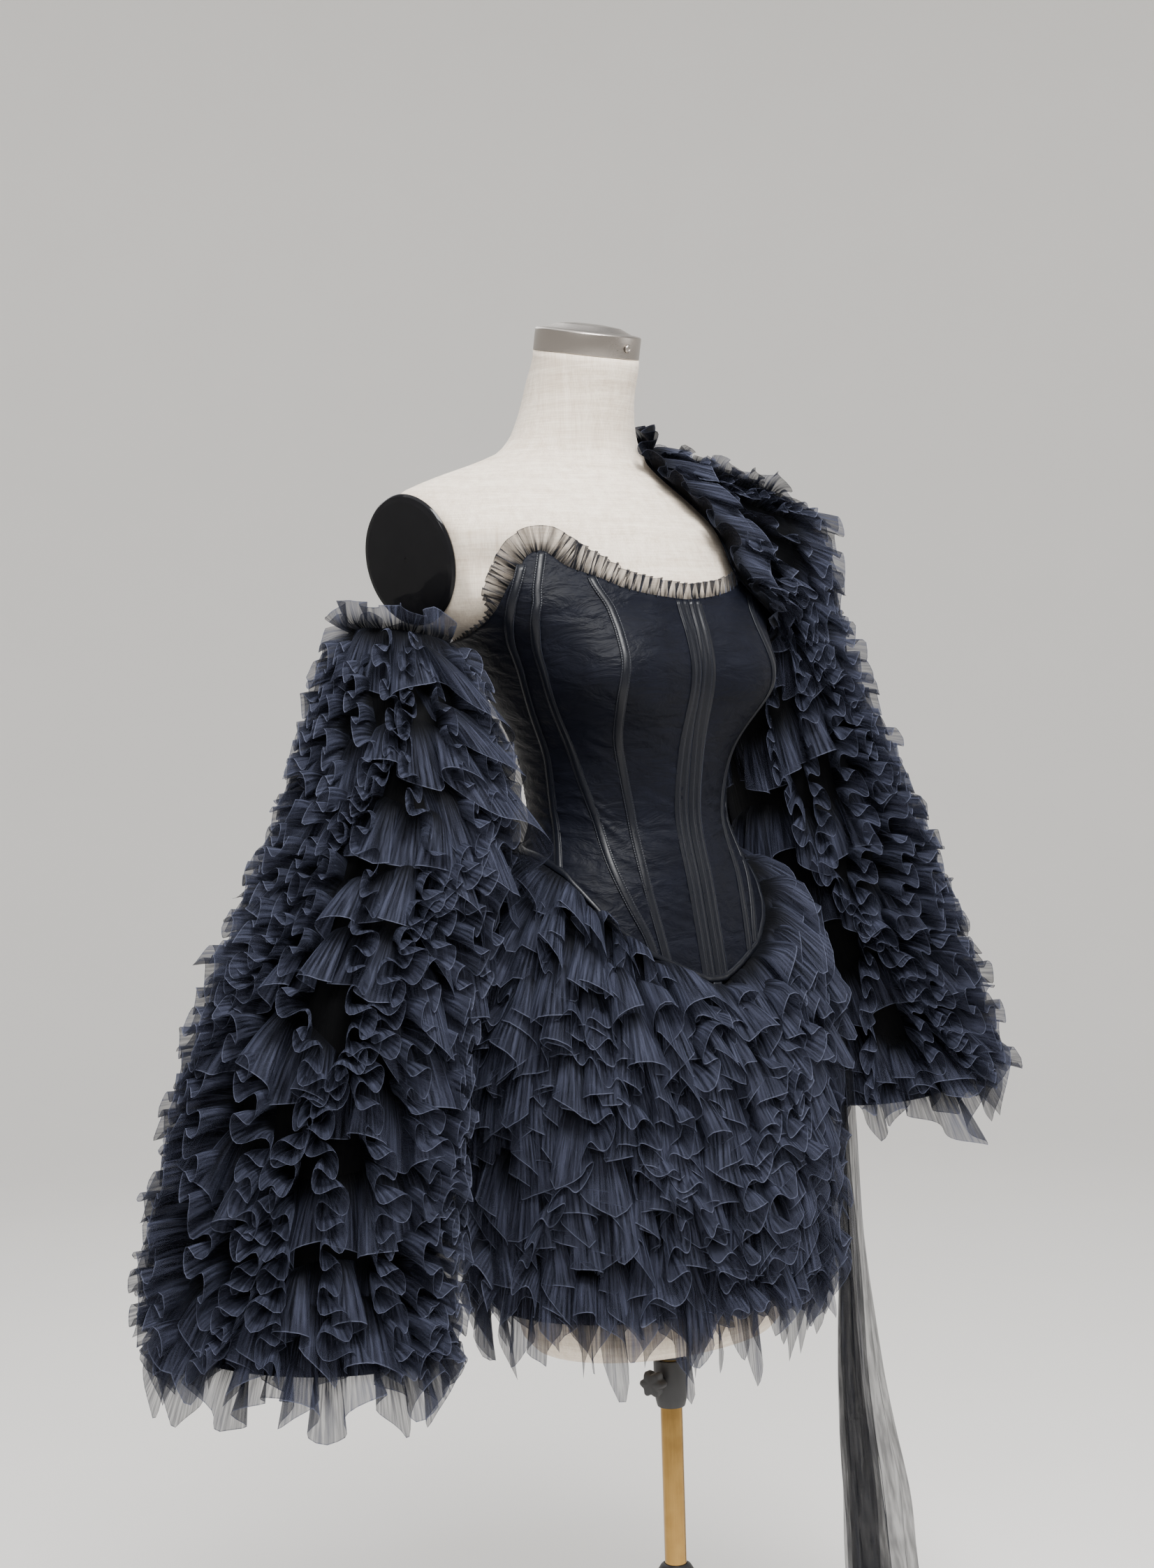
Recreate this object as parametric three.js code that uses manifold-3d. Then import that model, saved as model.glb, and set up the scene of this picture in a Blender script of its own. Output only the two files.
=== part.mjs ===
// A short black prom dress on a limbless linen dress form: a boned corset with a basque point, a mini
// skirt of ruffle tiers, a shrug with two bell sleeves of ruffle tiers, and a sash tail of folded tulle.
// Millimetres, +Z up. The origin is on the floor under the pole; the form faces -Y and its left is +X.
import * as THREE from 'three';
import { mergeVertices } from 'three/addons/utils/BufferGeometryUtils.js';
import Module from 'manifold-3d';

const wasm = await Module();
wasm.setup();

// Driving dimensions
const DEGREE = Math.PI / 180;
const SEAM = 0.3;                 // gap between pieces that touch
const CORSET_LINING = 3.4;        // form to the corset's inside
const CORSET_WALL = 2;
const TULLE_WALL = 1.5;           // a gathered tulle layer with its seam allowances
const CASING = { width: 9, thick: 1.2, crown: 0.4 };
const UNDERARM = { ease: 4.5, angle: 62, wide: 14 };
const BINDING = { height: 8, thick: 1.2 };
const FRILL = { columns: 90, waves: 30, thick: 1, foot: 4.4, sway: 2.6, lean: 3 };
const SKIRT = { columns: 40, waves: 10, tiers: 6, top: 1135, hem: 638, flare: 17, overlap: 1.4 };
const SLEEVE = { columns: 24, waves: 6, overlap: 1.42, room: 20, bodySpare: 3 };
const PLATE = { x: 203, y: 119, z: 1407, halfWidth: 56, halfHeight: 64, thick: 7, tilt: 11, turn: 12 };
const POLE = { radius: 11.2, low: 180, high: 640 };
const OUTER_TUBE = { radius: 14.2, high: 366 };
const LOWER_COLLAR = { radius: 20, low: 345, high: 390 };
const UPPER_COLLAR = { radius: 17, low: 550, high: 598 };
const SOCKET = { radius: 13.6, low: 599, high: 700 };
const BASE = { radius: 160, thick: 8, crown: 14, boss: 40 };
const FORM = { low: 622, columns: 30, squeeze: 5 };
const CAP = { radius: 54.5, low: 1617, band: 22, dome: 10, tilt: 12 };

// A table is a list of rows with named columns.
const table = (names, rows) =>
  rows.map((row) => Object.fromEntries(names.split(' ').map((name, i) => [name, row[i]])));

// The value of a named column at a place between two rows, on a smooth curve that never overshoots.
function column(rows, key, name, at) {
  const last = rows.length - 1;
  if (at <= rows[0][key]) return rows[0][name];
  if (at >= rows[last][key]) return rows[last][name];
  let i = 0;
  while (at > rows[i + 1][key]) i++;
  const rise = (j) => (rows[j + 1][name] - rows[j][name]) / (rows[j + 1][key] - rows[j][key]);
  const slope = (j) => {
    if (j <= 0 || j >= last) return 0;
    const before = rise(j - 1), after = rise(j);
    return before * after <= 0 ? 0 : (2 * before * after) / (before + after);
  };
  const span = rows[i + 1][key] - rows[i][key];
  const t = (at - rows[i][key]) / span, t2 = t * t, t3 = t2 * t;
  return (2 * t3 - 3 * t2 + 1) * rows[i][name] + (t3 - 2 * t2 + t) * span * slope(i)
    + (3 * t2 - 2 * t3) * rows[i + 1][name] + (t3 - t2) * span * slope(i + 1);
}

const lerp = (a, b, t) => a + (b - a) * t;
const mix = (p, q, t) => p.map((value, i) => lerp(value, q[i], t));
const plus = (p, q, scale = 1) => p.map((value, i) => value + q[i] * scale);
const minus = (p, q) => p.map((value, i) => value - q[i]);
const cross = (p, q) => [p[1] * q[2] - p[2] * q[1], p[2] * q[0] - p[0] * q[2], p[0] * q[1] - p[1] * q[0]];
const unit = (p) => { const length = Math.hypot(...p) || 1; return p.map((value) => value / length); };
const range = (count) => Array.from({ length: count }, (_, i) => i);
const clamp = (value, low, high) => Math.min(high, Math.max(low, value));
const smooth = (value) => { const t = clamp(value, 0, 1); return t * t * (3 - 2 * t); };

// Sections of the form by height: where the section's middle lies behind the pole, its half width,
// its depth before and behind that middle, and how square its front and back are.
const FORM_ROWS = table('z centre half front back frontPower backPower', [
  [622, 20, 140, 100, 102, 2.1, 2.1],
  [634, 20, 152, 110, 112, 2.1, 2.1],
  [700, 21, 164, 119, 121, 2.1, 2.1],
  [800, 23, 174, 126, 130, 2.1, 2.1],
  [900, 27, 178, 120, 132, 2.1, 2.1],
  [1000, 32, 165, 108, 124, 2.1, 2.1],
  [1080, 37, 131, 97, 106, 2.1, 2.1],
  [1148, 41, 101, 86, 86, 2.0, 2.0],
  [1200, 45, 106, 94, 90, 2.0, 2.0],
  [1245, 54, 120, 108, 98, 2.0, 2.0],
  [1290, 66, 137, 127, 110, 2.0, 2.1],
  [1325, 84, 158, 143, 106, 2.0, 2.3],
  [1350, 100, 188, 153, 96, 2.0, 2.5],
  [1374, 112, 215, 160, 86, 1.9, 2.8],
  [1402, 118, 224, 154, 80, 1.85, 3.0],
  [1432, 120, 226, 138, 75, 1.8, 3.0],
  [1458, 121, 220, 118, 66, 1.7, 2.8],
  [1474, 121, 204, 104, 60, 1.6, 2.4],
  [1490, 120, 166, 90, 56, 1.5, 2.0],
  [1505, 118, 120, 76, 54, 1.6, 1.9],
  [1520, 114, 84, 66, 54, 1.8, 2.0],
  [1542, 107, 67, 59, 56, 2.0, 2.0],
  [1580, 96, 57, 56, 56, 2.0, 2.0],
  [1617, 84, 54, 54, 54, 2.0, 2.0],
]);
const CUP = { angle: 38 * DEGREE, z: 1280, out: 38, wide: 30 * DEGREE, above: 66, below: 50 };

const sectionMiddle = (z) => column(FORM_ROWS, 'z', 'centre', z);

// How far the form's skin is from the section's middle. Angle 0 is the front, positive to the form's left.
function formRadius(angle, z) {
  const at = (name) => column(FORM_ROWS, 'z', name, z);
  const side = Math.abs(Math.sin(angle)), ahead = Math.cos(angle);
  const depth = ahead > 0 ? at('front') : at('back');
  const power = ahead > 0 ? at('frontPower') : at('backPower');
  const plain = ((side / at('half')) ** power + (Math.abs(ahead) / depth) ** power) ** (-1 / power);
  const tall = z > CUP.z ? CUP.above : CUP.below;
  const turn = Math.abs(Math.atan2(Math.sin(angle), Math.cos(angle)));
  return plain + CUP.out * Math.exp(-(((turn - CUP.angle) / CUP.wide) ** 2) - ((z - CUP.z) / tall) ** 2);
}

// A point of the form's skin, moved out along the level normal.
function formPoint(angle, z, out = 0) {
  const step = 0.02;
  const around = (a) => [formRadius(a, z) * Math.sin(a), -formRadius(a, z) * Math.cos(a)];
  const [x, y] = around(angle), [x0, y0] = around(angle - step), [x1, y1] = around(angle + step);
  const length = Math.hypot(x1 - x0, y1 - y0);
  return [x + (out * (y1 - y0)) / length, y + sectionMiddle(z) - (out * (x1 - x0)) / length, z];
}

// The angle and the distance of a point from the middle of the form at its height.
function formPlace([x, y, z]) {
  const ahead = sectionMiddle(z) - y;
  return { angle: Math.atan2(x, ahead), reach: Math.hypot(x, ahead) };
}

// Moves a point straight out of the form until it is clear of the skin by the given room, or to just there.
function clearOfForm(point, room, exactly = false) {
  const { angle, reach } = formPlace(point);
  const least = formRadius(angle, clamp(point[2], FORM.low, CAP.low)) + room;
  if (reach >= least && !exactly) return point;
  const middle = sectionMiddle(point[2]);
  return [(point[0] * least) / reach, middle + ((point[1] - middle) * least) / reach, point[2]];
}

// Closed geometry from two grids of points, the inside and the outside of a wall, joined at the rims. On a
// twisted wall, each cell is cut along its outer diagonal on both faces alike, so that it keeps its thickness.
function wallGeometry(inner, outer, round, twisted = false) {
  const rows = inner.length, columns = inner[0].length;
  const positions = [outer, inner].flat(3);
  const faces = [];
  const id = (side, r, c) => (side * rows + r) * columns + (c % columns);
  const quad = (a, b, c, d) => faces.push(a, b, c, a, c, d);
  const spans = round ? columns : columns - 1;
  // Whether the diagonal from this corner of a cell lies further out than the cell's other diagonal.
  const isOuter = (r, c) => {
    const d = (c + 1) % columns;
    const here = plus(outer[r][c], outer[r + 1][d]), other = plus(outer[r][d], outer[r + 1][c]);
    const away = minus(outer[r][c], inner[r][c]), apart = minus(here, other);
    return apart[0] * away[0] + apart[1] * away[1] + apart[2] * away[2] > 0;
  };
  for (let c = 0; c < spans; c++) {
    for (let r = 0; r < rows - 1; r++) {
      const other = twisted && !isOuter(r, c), same = twisted && !other;
      if (other) quad(id(0, r, c + 1), id(0, r + 1, c + 1), id(0, r + 1, c), id(0, r, c));
      else quad(id(0, r, c), id(0, r, c + 1), id(0, r + 1, c + 1), id(0, r + 1, c));
      if (same) quad(id(1, r, c), id(1, r + 1, c), id(1, r + 1, c + 1), id(1, r, c + 1));
      else quad(id(1, r, c + 1), id(1, r, c), id(1, r + 1, c), id(1, r + 1, c + 1));
    }
    quad(id(1, 0, c), id(1, 0, c + 1), id(0, 0, c + 1), id(0, 0, c));
    quad(id(0, rows - 1, c), id(0, rows - 1, c + 1), id(1, rows - 1, c + 1), id(1, rows - 1, c));
  }
  for (let r = 0; r < rows - 1 && !round; r++) {
    const end = columns - 1;
    quad(id(0, r, 0), id(0, r + 1, 0), id(1, r + 1, 0), id(1, r, 0));
    quad(id(0, r + 1, end), id(0, r, end), id(1, r, end), id(1, r + 1, end));
  }
  return outward(positions, faces);
}

// Closed geometry of a solid whose rings lie one above another, with a fan at each end.
function ringSolid(rings) {
  const columns = rings[0].length, faces = [];
  const positions = rings.flat(2);
  const middle = (ring) => ring.reduce((sum, p) => plus(sum, p, 1 / columns), [0, 0, 0]);
  const low = rings.length * columns, high = low + 1, top = (rings.length - 1) * columns;
  positions.push(...middle(rings[0]), ...middle(rings[rings.length - 1]));
  for (let c = 0; c < columns; c++) {
    const next = (c + 1) % columns;
    for (let r = 0; r < top; r += columns) {
      faces.push(r + c, r + next, r + columns + next, r + c, r + columns + next, r + columns + c);
    }
    faces.push(low, next, c, high, top + c, top + next);
  }
  return outward(positions, faces);
}

// A BufferGeometry whose faces point out, whichever way its grid ran.
function outward(positions, faces) {
  const corner = (i) => positions.slice(3 * i, 3 * i + 3);
  let volume = 0;
  for (let i = 0; i < faces.length; i += 3) {
    const [a, b, c] = [corner(faces[i]), corner(faces[i + 1]), corner(faces[i + 2])];
    const n = cross(b, c);
    volume += a[0] * n[0] + a[1] * n[1] + a[2] * n[2];
  }
  const ordered = volume < 0 ? [...faces].reverse() : faces;
  const geometry = new THREE.BufferGeometry();
  geometry.setAttribute('position', new THREE.Float32BufferAttribute(positions, 3));
  geometry.setIndex(ordered);
  return geometry;
}

// Booleans
function solidOf(geometry) {
  const plain = geometry.clone();
  plain.deleteAttribute('normal');
  plain.deleteAttribute('uv');
  const merged = mergeVertices(plain, 1e-4);
  return new wasm.Manifold(new wasm.Mesh({
    numProp: 3,
    vertProperties: merged.attributes.position.array,
    triVerts: new Uint32Array(merged.index.array),
  }));
}

function geometryOf(solid) {
  const mesh = solid.getMesh();
  const geometry = new THREE.BufferGeometry();
  geometry.setAttribute('position', new THREE.Float32BufferAttribute(mesh.vertProperties, 3));
  geometry.setIndex(Array.from(mesh.triVerts));
  return geometry;
}

const dress = new THREE.Group();
const finish = (color, roughness, metalness = 0) =>
  new THREE.MeshStandardMaterial({ color, roughness, metalness, side: THREE.DoubleSide });
const satin = () => finish(0x10131c, 0.42);
const ribbon = () => finish(0x0b0d13, 0.35);
const tulle = () => finish(0x171c2b, 0.85);
const net = () => finish(0x2a2c34, 0.9);
const linen = () => finish(0xd9d2c4, 0.9);
const steel = () => finish(0xb9b4ad, 0.35, 1);
const brass = () => finish(0xb98d4a, 0.3, 1);
const gloss = () => finish(0x0a0a0b, 0.15);
const plastic = () => finish(0x131314, 0.5);

function piece(name, geometry, material, position = [0, 0, 0]) {
  const mesh = new THREE.Mesh(geometry, material);
  mesh.name = name;
  mesh.position.set(...position);
  dress.add(mesh);
  return mesh;
}

// The corset. Its seams are tables of height and angle, mirrored to the other side, and its two edges are
// tables of angle and height.
const SEAMS = {
  front: table('z angle', [[900, 0], [1500, 0]]),
  cup: table('z angle', [
    [980, 26], [1022, 29], [1090, 35], [1143, 39], [1212, 42.5],
    [1258, 38.5], [1311, 33.3], [1349, 32], [1383, 35], [1420, 36],
  ]),
  waist: table('z angle', [
    [1000, 33], [1027, 35.5], [1069, 44], [1136, 57], [1213, 66], [1298, 62], [1365, 52], [1420, 49],
  ]),
  side: table('z angle', [
    [1080, 73], [1100, 76], [1160, 84], [1237, 79.6], [1314, 70], [1370, 57], [1420, 54],
  ]),
  back: table('z angle', [[900, 179.9], [1500, 179.9]]),
};
const LOWER_EDGE = table('angle z', [
  [0, 985], [5.5, 985.5], [9, 988], [16, 994], [25, 1003], [35, 1014], [45, 1032],
  [53, 1048], [60, 1066], [67, 1082], [74, 1095], [94, 1110], [130, 1116], [180, 1118],
]);
const UPPER_EDGE = table('angle z', [
  [0, 1360], [12, 1363], [24, 1370], [33, 1382], [42, 1393], [50, 1409], [53, 1405], [58, 1380], [64, 1356],
  [73, 1341], [92, 1328], [130, 1321], [180, 1318],
]);
const CORSET_ROWS = 12;
const seamAngle = (seam, z) => column(SEAMS[seam], 'z', 'angle', z);

// The place, as angle and height, at a share across a panel and a share up it.
function panelPlace(from, to, across, up) {
  let z = 1200, angle = 0;
  for (let round = 0; round < 8; round++) {
    angle = lerp(seamAngle(from, z) + 0.1, seamAngle(to, z) - 0.1, across);
    z = lerp(column(LOWER_EDGE, 'angle', 'z', angle), column(UPPER_EDGE, 'angle', 'z', angle), up);
  }
  return { angle: angle * DEGREE, z };
}

// One panel as a grid of places: rows go up, columns from the front towards the back.
const panelPlaces = ({ from, to, spans, dense = 1 }) => range(CORSET_ROWS).map((r) =>
  range(spans + 1).map((c) => panelPlace(from, to, (c / spans) ** dense, r / (CORSET_ROWS - 1))));

// Under the arms the form swells sharply, so the corset stands off it a little more there.
function wornPoint(angle, z, out) {
  const turn = Math.abs(Math.atan2(Math.sin(angle), Math.cos(angle))) / DEGREE;
  const ease = UNDERARM.ease * Math.exp(-(((turn - UNDERARM.angle) / UNDERARM.wide) ** 2));
  return formPoint(angle, z, out + ease * smooth((z - 1300) / 50));
}

const onPanel = (places, side, out) =>
  places.map((row) => row.map(({ angle, z }) => wornPoint(side * angle, z, out)));

const PANELS = [
  { name: 'centre_front', from: 'front', to: 'cup', spans: 4 },
  { name: 'side_front', from: 'cup', to: 'waist', spans: 3 },
  { name: 'side', from: 'waist', to: 'side', spans: 3 },
  { name: 'back', from: 'side', to: 'back', spans: 8, dense: 1.35 },
];
const SIDES = [['right', -1], ['left', 1]];
const corsetOut = CORSET_LINING + CORSET_WALL;

for (const [sideName, side] of SIDES) {
  for (const panel of PANELS) {
    panel.places ??= panelPlaces(panel);
    const inner = onPanel(panel.places, side, CORSET_LINING);
    const outer = onPanel(panel.places, side, corsetOut);
    piece(`corset_${panel.name}_${sideName}`, wallGeometry(inner, outer, false), satin());
  }
}

// The places of a panel's row at a whole or part number, between its rows.
const placesAt = (panel, row) => {
  const low = Math.floor(row), t = row - low;
  return panel.places[low].map((p, c) => {
    const q = panel.places[Math.min(low + 1, CORSET_ROWS - 1)][c];
    return { angle: lerp(p.angle, q.angle, t), z: lerp(p.z, q.z, t) };
  });
};

// A bone channel runs from the bound edge up, along a seam, and its two edges lie on the panels beside it.
const CASING_ROWS = range(CORSET_ROWS).map((r) => Math.max(r, 0.55));

function casingGrid(side, out, strips) {
  return CASING_ROWS.map((row) => strips.map(({ panel, atEnd, across, lift }) => {
    const places = placesAt(panel, row);
    const [near, next] = atEnd ? [places.at(-1), places.at(-2)] : [places[0], places[1]];
    const wide = Math.hypot(...minus(formPoint(near.angle, near.z), formPoint(next.angle, next.z)));
    const share = across / wide;
    const height = out + lift + 4 * smooth((near.angle - 0.9) / 0.05) * smooth((near.z - 1280) / 60);
    const from = wornPoint(side * near.angle, near.z, height);
    const chord = mix(from, wornPoint(side * next.angle, next.z, height), share);
    const skin = wornPoint(side * lerp(near.angle, next.angle, share), lerp(near.z, next.z, share), height);
    return formPlace(chord).reach > formPlace(skin).reach ? chord : skin;
  }));
}

function casing(name, side, strips) {
  const seat = corsetOut + 3.8 * SEAM;
  const flat = strips.map((strip) => ({ ...strip, lift: 0 }));
  const inner = casingGrid(side, seat, flat), outer = casingGrid(side, seat + CASING.thick, strips);
  piece(name, wallGeometry(inner, outer, false), ribbon());
}

const seamStrips = (before, after) => [
  { panel: before, atEnd: true, across: CASING.width / 2, lift: 0 },
  { panel: after, atEnd: false, across: 0, lift: CASING.crown },
  { panel: after, atEnd: false, across: CASING.width / 2, lift: 0 },
];
const frontStrips = [
  { panel: PANELS[0], atEnd: false, across: 0.5, lift: 0 },
  { panel: PANELS[0], atEnd: false, across: 0.5 + CASING.width, lift: 0 },
];

for (const [sideName, side] of SIDES) {
  casing(`casing_front_${sideName}`, side, frontStrips);
  casing(`casing_cup_${sideName}`, side, seamStrips(PANELS[0], PANELS[1]));
  casing(`casing_waist_${sideName}`, side, seamStrips(PANELS[1], PANELS[2]));
  casing(`casing_side_${sideName}`, side, seamStrips(PANELS[2], PANELS[3]));
}

// The lower and upper edges of the corset, once round it: the form's left from the front to the back, then
// the right from the back to the front.
function edgePlaces(row) {
  const half = PANELS.flatMap((panel) => panel.places.at(row).slice(0, -1));
  const back = PANELS[3].places.at(row).at(-1);
  const mirrored = half.slice(1).reverse().map(({ angle, z }) => ({ angle: -angle, z }));
  return [{ angle: 0, z: half[0].z }, ...half.slice(1), { angle: Math.PI, z: back.z }, ...mirrored];
}

function lowerBinding() {
  const places = edgePlaces(0);
  const above = edgePlaces(1);
  const reach = (i) => BINDING.height / (above[i].z - places[i].z);
  const seat = corsetOut + SEAM;
  const ring = (share, out) => places.map((p, i) => {
    const low = wornPoint(p.angle, p.z, out), high = wornPoint(above[i].angle, above[i].z, out);
    return mix(low, high, share * reach(i));
  });
  const grid = (out) => [ring(-0.15, out), ring(1, out)];
  piece('corset_lower_binding', wallGeometry(grid(seat), grid(seat + BINDING.thick), true), ribbon());
}
lowerBinding();

// The pleated net frill that stands on the corset's upper edge, lower under the arms.
const FRILL_HEIGHT = table('angle height', [
  [0, 25], [45, 27], [60, 22], [72, 9], [115, 8], [135, 13], [180, 14],
]);

function neckFrill() {
  const corners = edgePlaces(-1);
  const count = corners.length;
  const lengths = corners.map((p, i) => {
    const next = corners[(i + 1) % count];
    return Math.hypot(...minus(wornPoint(next.angle, next.z, corsetOut), wornPoint(p.angle, p.z, corsetOut)));
  });
  const whole = lengths.reduce((sum, length) => sum + length, 0);
  const foot = [], free = [];
  let run = 0;
  corners.forEach((p, i) => {
    const next = corners[(i + 1) % count];
    const steps = Math.max(1, Math.round((lengths[i] * FRILL.columns) / whole));
    for (let s = 0; s < steps; s++) {
      const turn = Math.abs(next.angle - p.angle) > Math.PI ? next.angle + 2 * Math.PI : next.angle;
      const angle = lerp(p.angle, turn, s / steps);
      const at = wornPoint(angle, lerp(p.z, next.z, s / steps), FRILL.foot);
      const outside = unit(minus(wornPoint(angle, at[2], 10), wornPoint(angle, at[2], 0)));
      const degrees = Math.atan2(Math.sin(angle), Math.cos(angle)) / DEGREE;
      foot.push({ at, outside, degrees, run: (run + (lengths[i] * s) / steps) / whole });
    }
    run += lengths[i];
  });
  foot.forEach((f, i) => {
    const before = foot[(i + foot.length - 1) % foot.length], after = foot[(i + 1) % foot.length];
    const rise = unit(cross(f.outside, unit(minus(after.at, before.at))));
    const up = rise[2] < 0 ? rise.map((value) => -value) : rise;
    const height = column(FRILL_HEIGHT, 'angle', 'height', Math.abs(f.degrees));
    const covered = f.degrees > 14 || f.degrees < -90 ? 0.4 : 1;
    const sway = covered * FRILL.sway * Math.sin(2 * Math.PI * FRILL.waves * f.run);
    const raised = plus(f.at, up, height);
    const settled = clearOfForm(raised, FRILL.foot + covered * FRILL.lean, covered < 1);
    free.push(plus(settled, f.outside, sway));
    f.low = plus(f.at, up, 0.5);
  });
  const half = FRILL.thick / 2;
  const shift = (points, out) => points.map((p, i) => plus(p, foot[i].outside, out));
  const low = foot.map((f) => f.low);
  const grid = (out) => [shift(low, out), shift(free, out)];
  piece('corset_neck_frill', wallGeometry(grid(-half), grid(half), true, true), net());
}
neckFrill();

// A tulle surface that a ruffle tier is sewn to: rows of points down it at known distances, and the outward
// normal at each point. A place past the last row goes straight on.
function surfaceOf(stations, grid, middles) {
  const columns = grid[0].length;
  const normals = grid.map((row, r) => row.map((point, c) => {
    const around = minus(row[(c + 1) % columns], row[(c + columns - 1) % columns]);
    const down = minus(grid[Math.min(r + 1, grid.length - 1)][c], grid[Math.max(r - 1, 0)][c]);
    const normal = unit(cross(around, down));
    const away = minus(point, middles[r]);
    const facing = normal[0] * away[0] + normal[1] * away[1] + normal[2] * away[2];
    return facing < 0 ? normal.map((value) => -value) : normal;
  }));
  const at = (c, s) => {
    let i = 0;
    while (i < stations.length - 2 && s > stations[i + 1]) i++;
    const t = (s - stations[i]) / (stations[i + 1] - stations[i]);
    const tilt = Math.min(t, 1);
    return {
      point: mix(grid[i][c], grid[i + 1][c], t),
      normal: unit(mix(normals[i][c], normals[i + 1][c], tilt)),
    };
  };
  return { stations, grid, normals, columns, at };
}

function wallOf({ grid, normals }, thick, twisted = false) {
  const inner = grid.map((row, r) => row.map((p, c) => plus(p, normals[r][c], -thick)));
  return wallGeometry(inner, grid, true, twisted);
}

// A ruffle tier: sewn along its upper line and free below, where it stands off the surface in waves. It
// stands off by height x t^RISE x (1 + wave x t x cos), t being the share of the way down.
const RISE = 0.65;

function ruffle(name, surface, { from, length, height, waves, phase, wave, shares, spikes, seat = () => 0.9 }) {
  const grid = (side) => shares.map((t) => range(surface.columns).map((c) => {
    const angle = (2 * Math.PI * c) / surface.columns;
    const swing = Math.cos(waves * angle + phase) * (0.82 + 0.18 * Math.sin(2 * angle + 3 * phase));
    const stand = height(angle) * t ** RISE * (1 + wave(angle) * t * swing);
    const drop = t === 1 ? spikes * Math.max(0, swing) ** 2 : 0;
    const { point, normal } = surface.at(c, from(angle) + t * length(angle) + drop);
    return plus(point, normal, seat(angle) + stand + side * TULLE_WALL);
  }));
  piece(name, wallGeometry(grid(0), grid(1), true, true), tulle());
}

// The skirt. Its base hangs from the waist under the corset and flares below the corset's edge.
function skirt() {
  const rows = [0, 0.12, 0.2, 0.32, 0.6, 1];
  const turned = (angle) => Math.abs(Math.atan2(Math.sin(angle), Math.cos(angle))) / DEGREE;
  const edge = (angle) => column(LOWER_EDGE, 'angle', 'z', turned(angle));
  const start = (angle) => edge(angle) - 2;
  const height = (angle, s) => (s < 0.12
    ? lerp(SKIRT.top, start(angle), s / 0.12)
    : lerp(start(angle), SKIRT.hem, (s - 0.12) / 0.88));
  const point = (angle, s) => {
    const z = height(angle, s);
    const loose = smooth((start(angle) - z) / 70);
    return formPoint(angle, z, 0.5 + TULLE_WALL + SKIRT.flare * loose);
  };
  const angles = range(SKIRT.columns).map((c) => (2 * Math.PI * c) / SKIRT.columns);
  const grid = rows.map((s) => angles.map((angle) => point(angle, s)));
  const middles = rows.map((s) => [0, 40, height(Math.PI / 2, s)]);
  const surface = surfaceOf(rows, grid, middles);
  piece('skirt_base', wallOf(surface, TULLE_WALL), tulle());

  const spacing = 0.86 / SKIRT.tiers;
  const stands = [46, 40, 38, 36, 33, 30];
  stands.forEach((stand, i) => {
    const pressed = (angle) => 1 - 0.42 * Math.sin(angle) ** 4;
    ruffle(`skirt_ruffle_${i + 1}`, surface, {
      from: () => 0.125 + i * spacing,
      length: () => spacing * SKIRT.overlap,
      height: (angle) => stand * pressed(angle),
      waves: SKIRT.waves,
      wave: () => 0.4,
      phase: i * 2.1,
      shares: [0, 0.5, 1],
      spikes: i === SKIRT.tiers - 1 ? 0.1 : 0.02,
    });
  });
  return surface;
}
skirt();

// Sleeves. A station has its distance down the sleeve, the middle of its ring, how far the ring's outer
// side is raised, its half size across, and its half depth.
const STATIONS = {
  left: table('s x y z raised across deep', [
    [0, 150, 95, 1400, 100, 105, 95],
    [95, 208, 100, 1397, 74, 98, 94],
    [195, 242, 92, 1300, 30, 70, 78],
    [280, 264, 80, 1217, 14, 72, 78],
    [455, 304, 62, 1046, 12, 82, 88],
    [625, 364, 52, 880, 10, 92, 98],
    [735, 392, 48, 775, 8, 98, 104],
  ]),
  right: table('s x y z raised across deep', [
    [0, 228, 110, 1330, 12, 46, 52],
    [60, 232, 100, 1272, 12, 60, 66],
    [150, 248, 80, 1184, 12, 76, 86],
    [380, 348, 62, 958, 12, 88, 94],
    [530, 374, 64, 810, 6, 102, 104],
    [680, 388, 66, 652, 4, 116, 118],
  ]),
};

// The left sleeve starts on the body, along a line from the neck over the chest and under the arm.
const SHOULDER_LINE = table('turn angle z out', [
  [0, 85, 1528, 7], [30, 50, 1524, 7], [60, 26, 1502, 9], [90, 30, 1442, 12], [120, 25, 1390, 14],
  [150, 43, 1340, 18], [165, 65, 1316, 22], [180, 90, 1292, 18], [210, 106, 1312, 15], [240, 116, 1362, 12],
  [270, 124, 1420, 10], [300, 126, 1470, 9], [330, 112, 1510, 8], [360, 85, 1528, 7],
]);

function ringPoint(stations, side, s, turn) {
  const at = (name) => column(stations, 's', name, s);
  const raised = at('raised') * DEGREE;
  const reach = at('across') * Math.cos(turn), ahead = at('deep') * Math.sin(turn);
  return [side * (at('x') + reach * Math.cos(raised)), at('y') - ahead, at('z') + reach * Math.sin(raised)];
}

function shoulderPoint(turn) {
  const degrees = ((turn / DEGREE) % 360 + 360) % 360;
  const at = (name) => column(SHOULDER_LINE, 'turn', name, degrees);
  return formPoint(at('angle') * DEGREE, at('z'), at('out'));
}

// How much a turn of the sleeve faces the body, from 0 to 1. Ruffles lie flatter there.
const bodySide = (turn) =>
  smooth((Math.abs(Math.atan2(Math.sin(turn), Math.cos(turn))) / Math.PI - 0.55) / 0.35);

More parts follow.
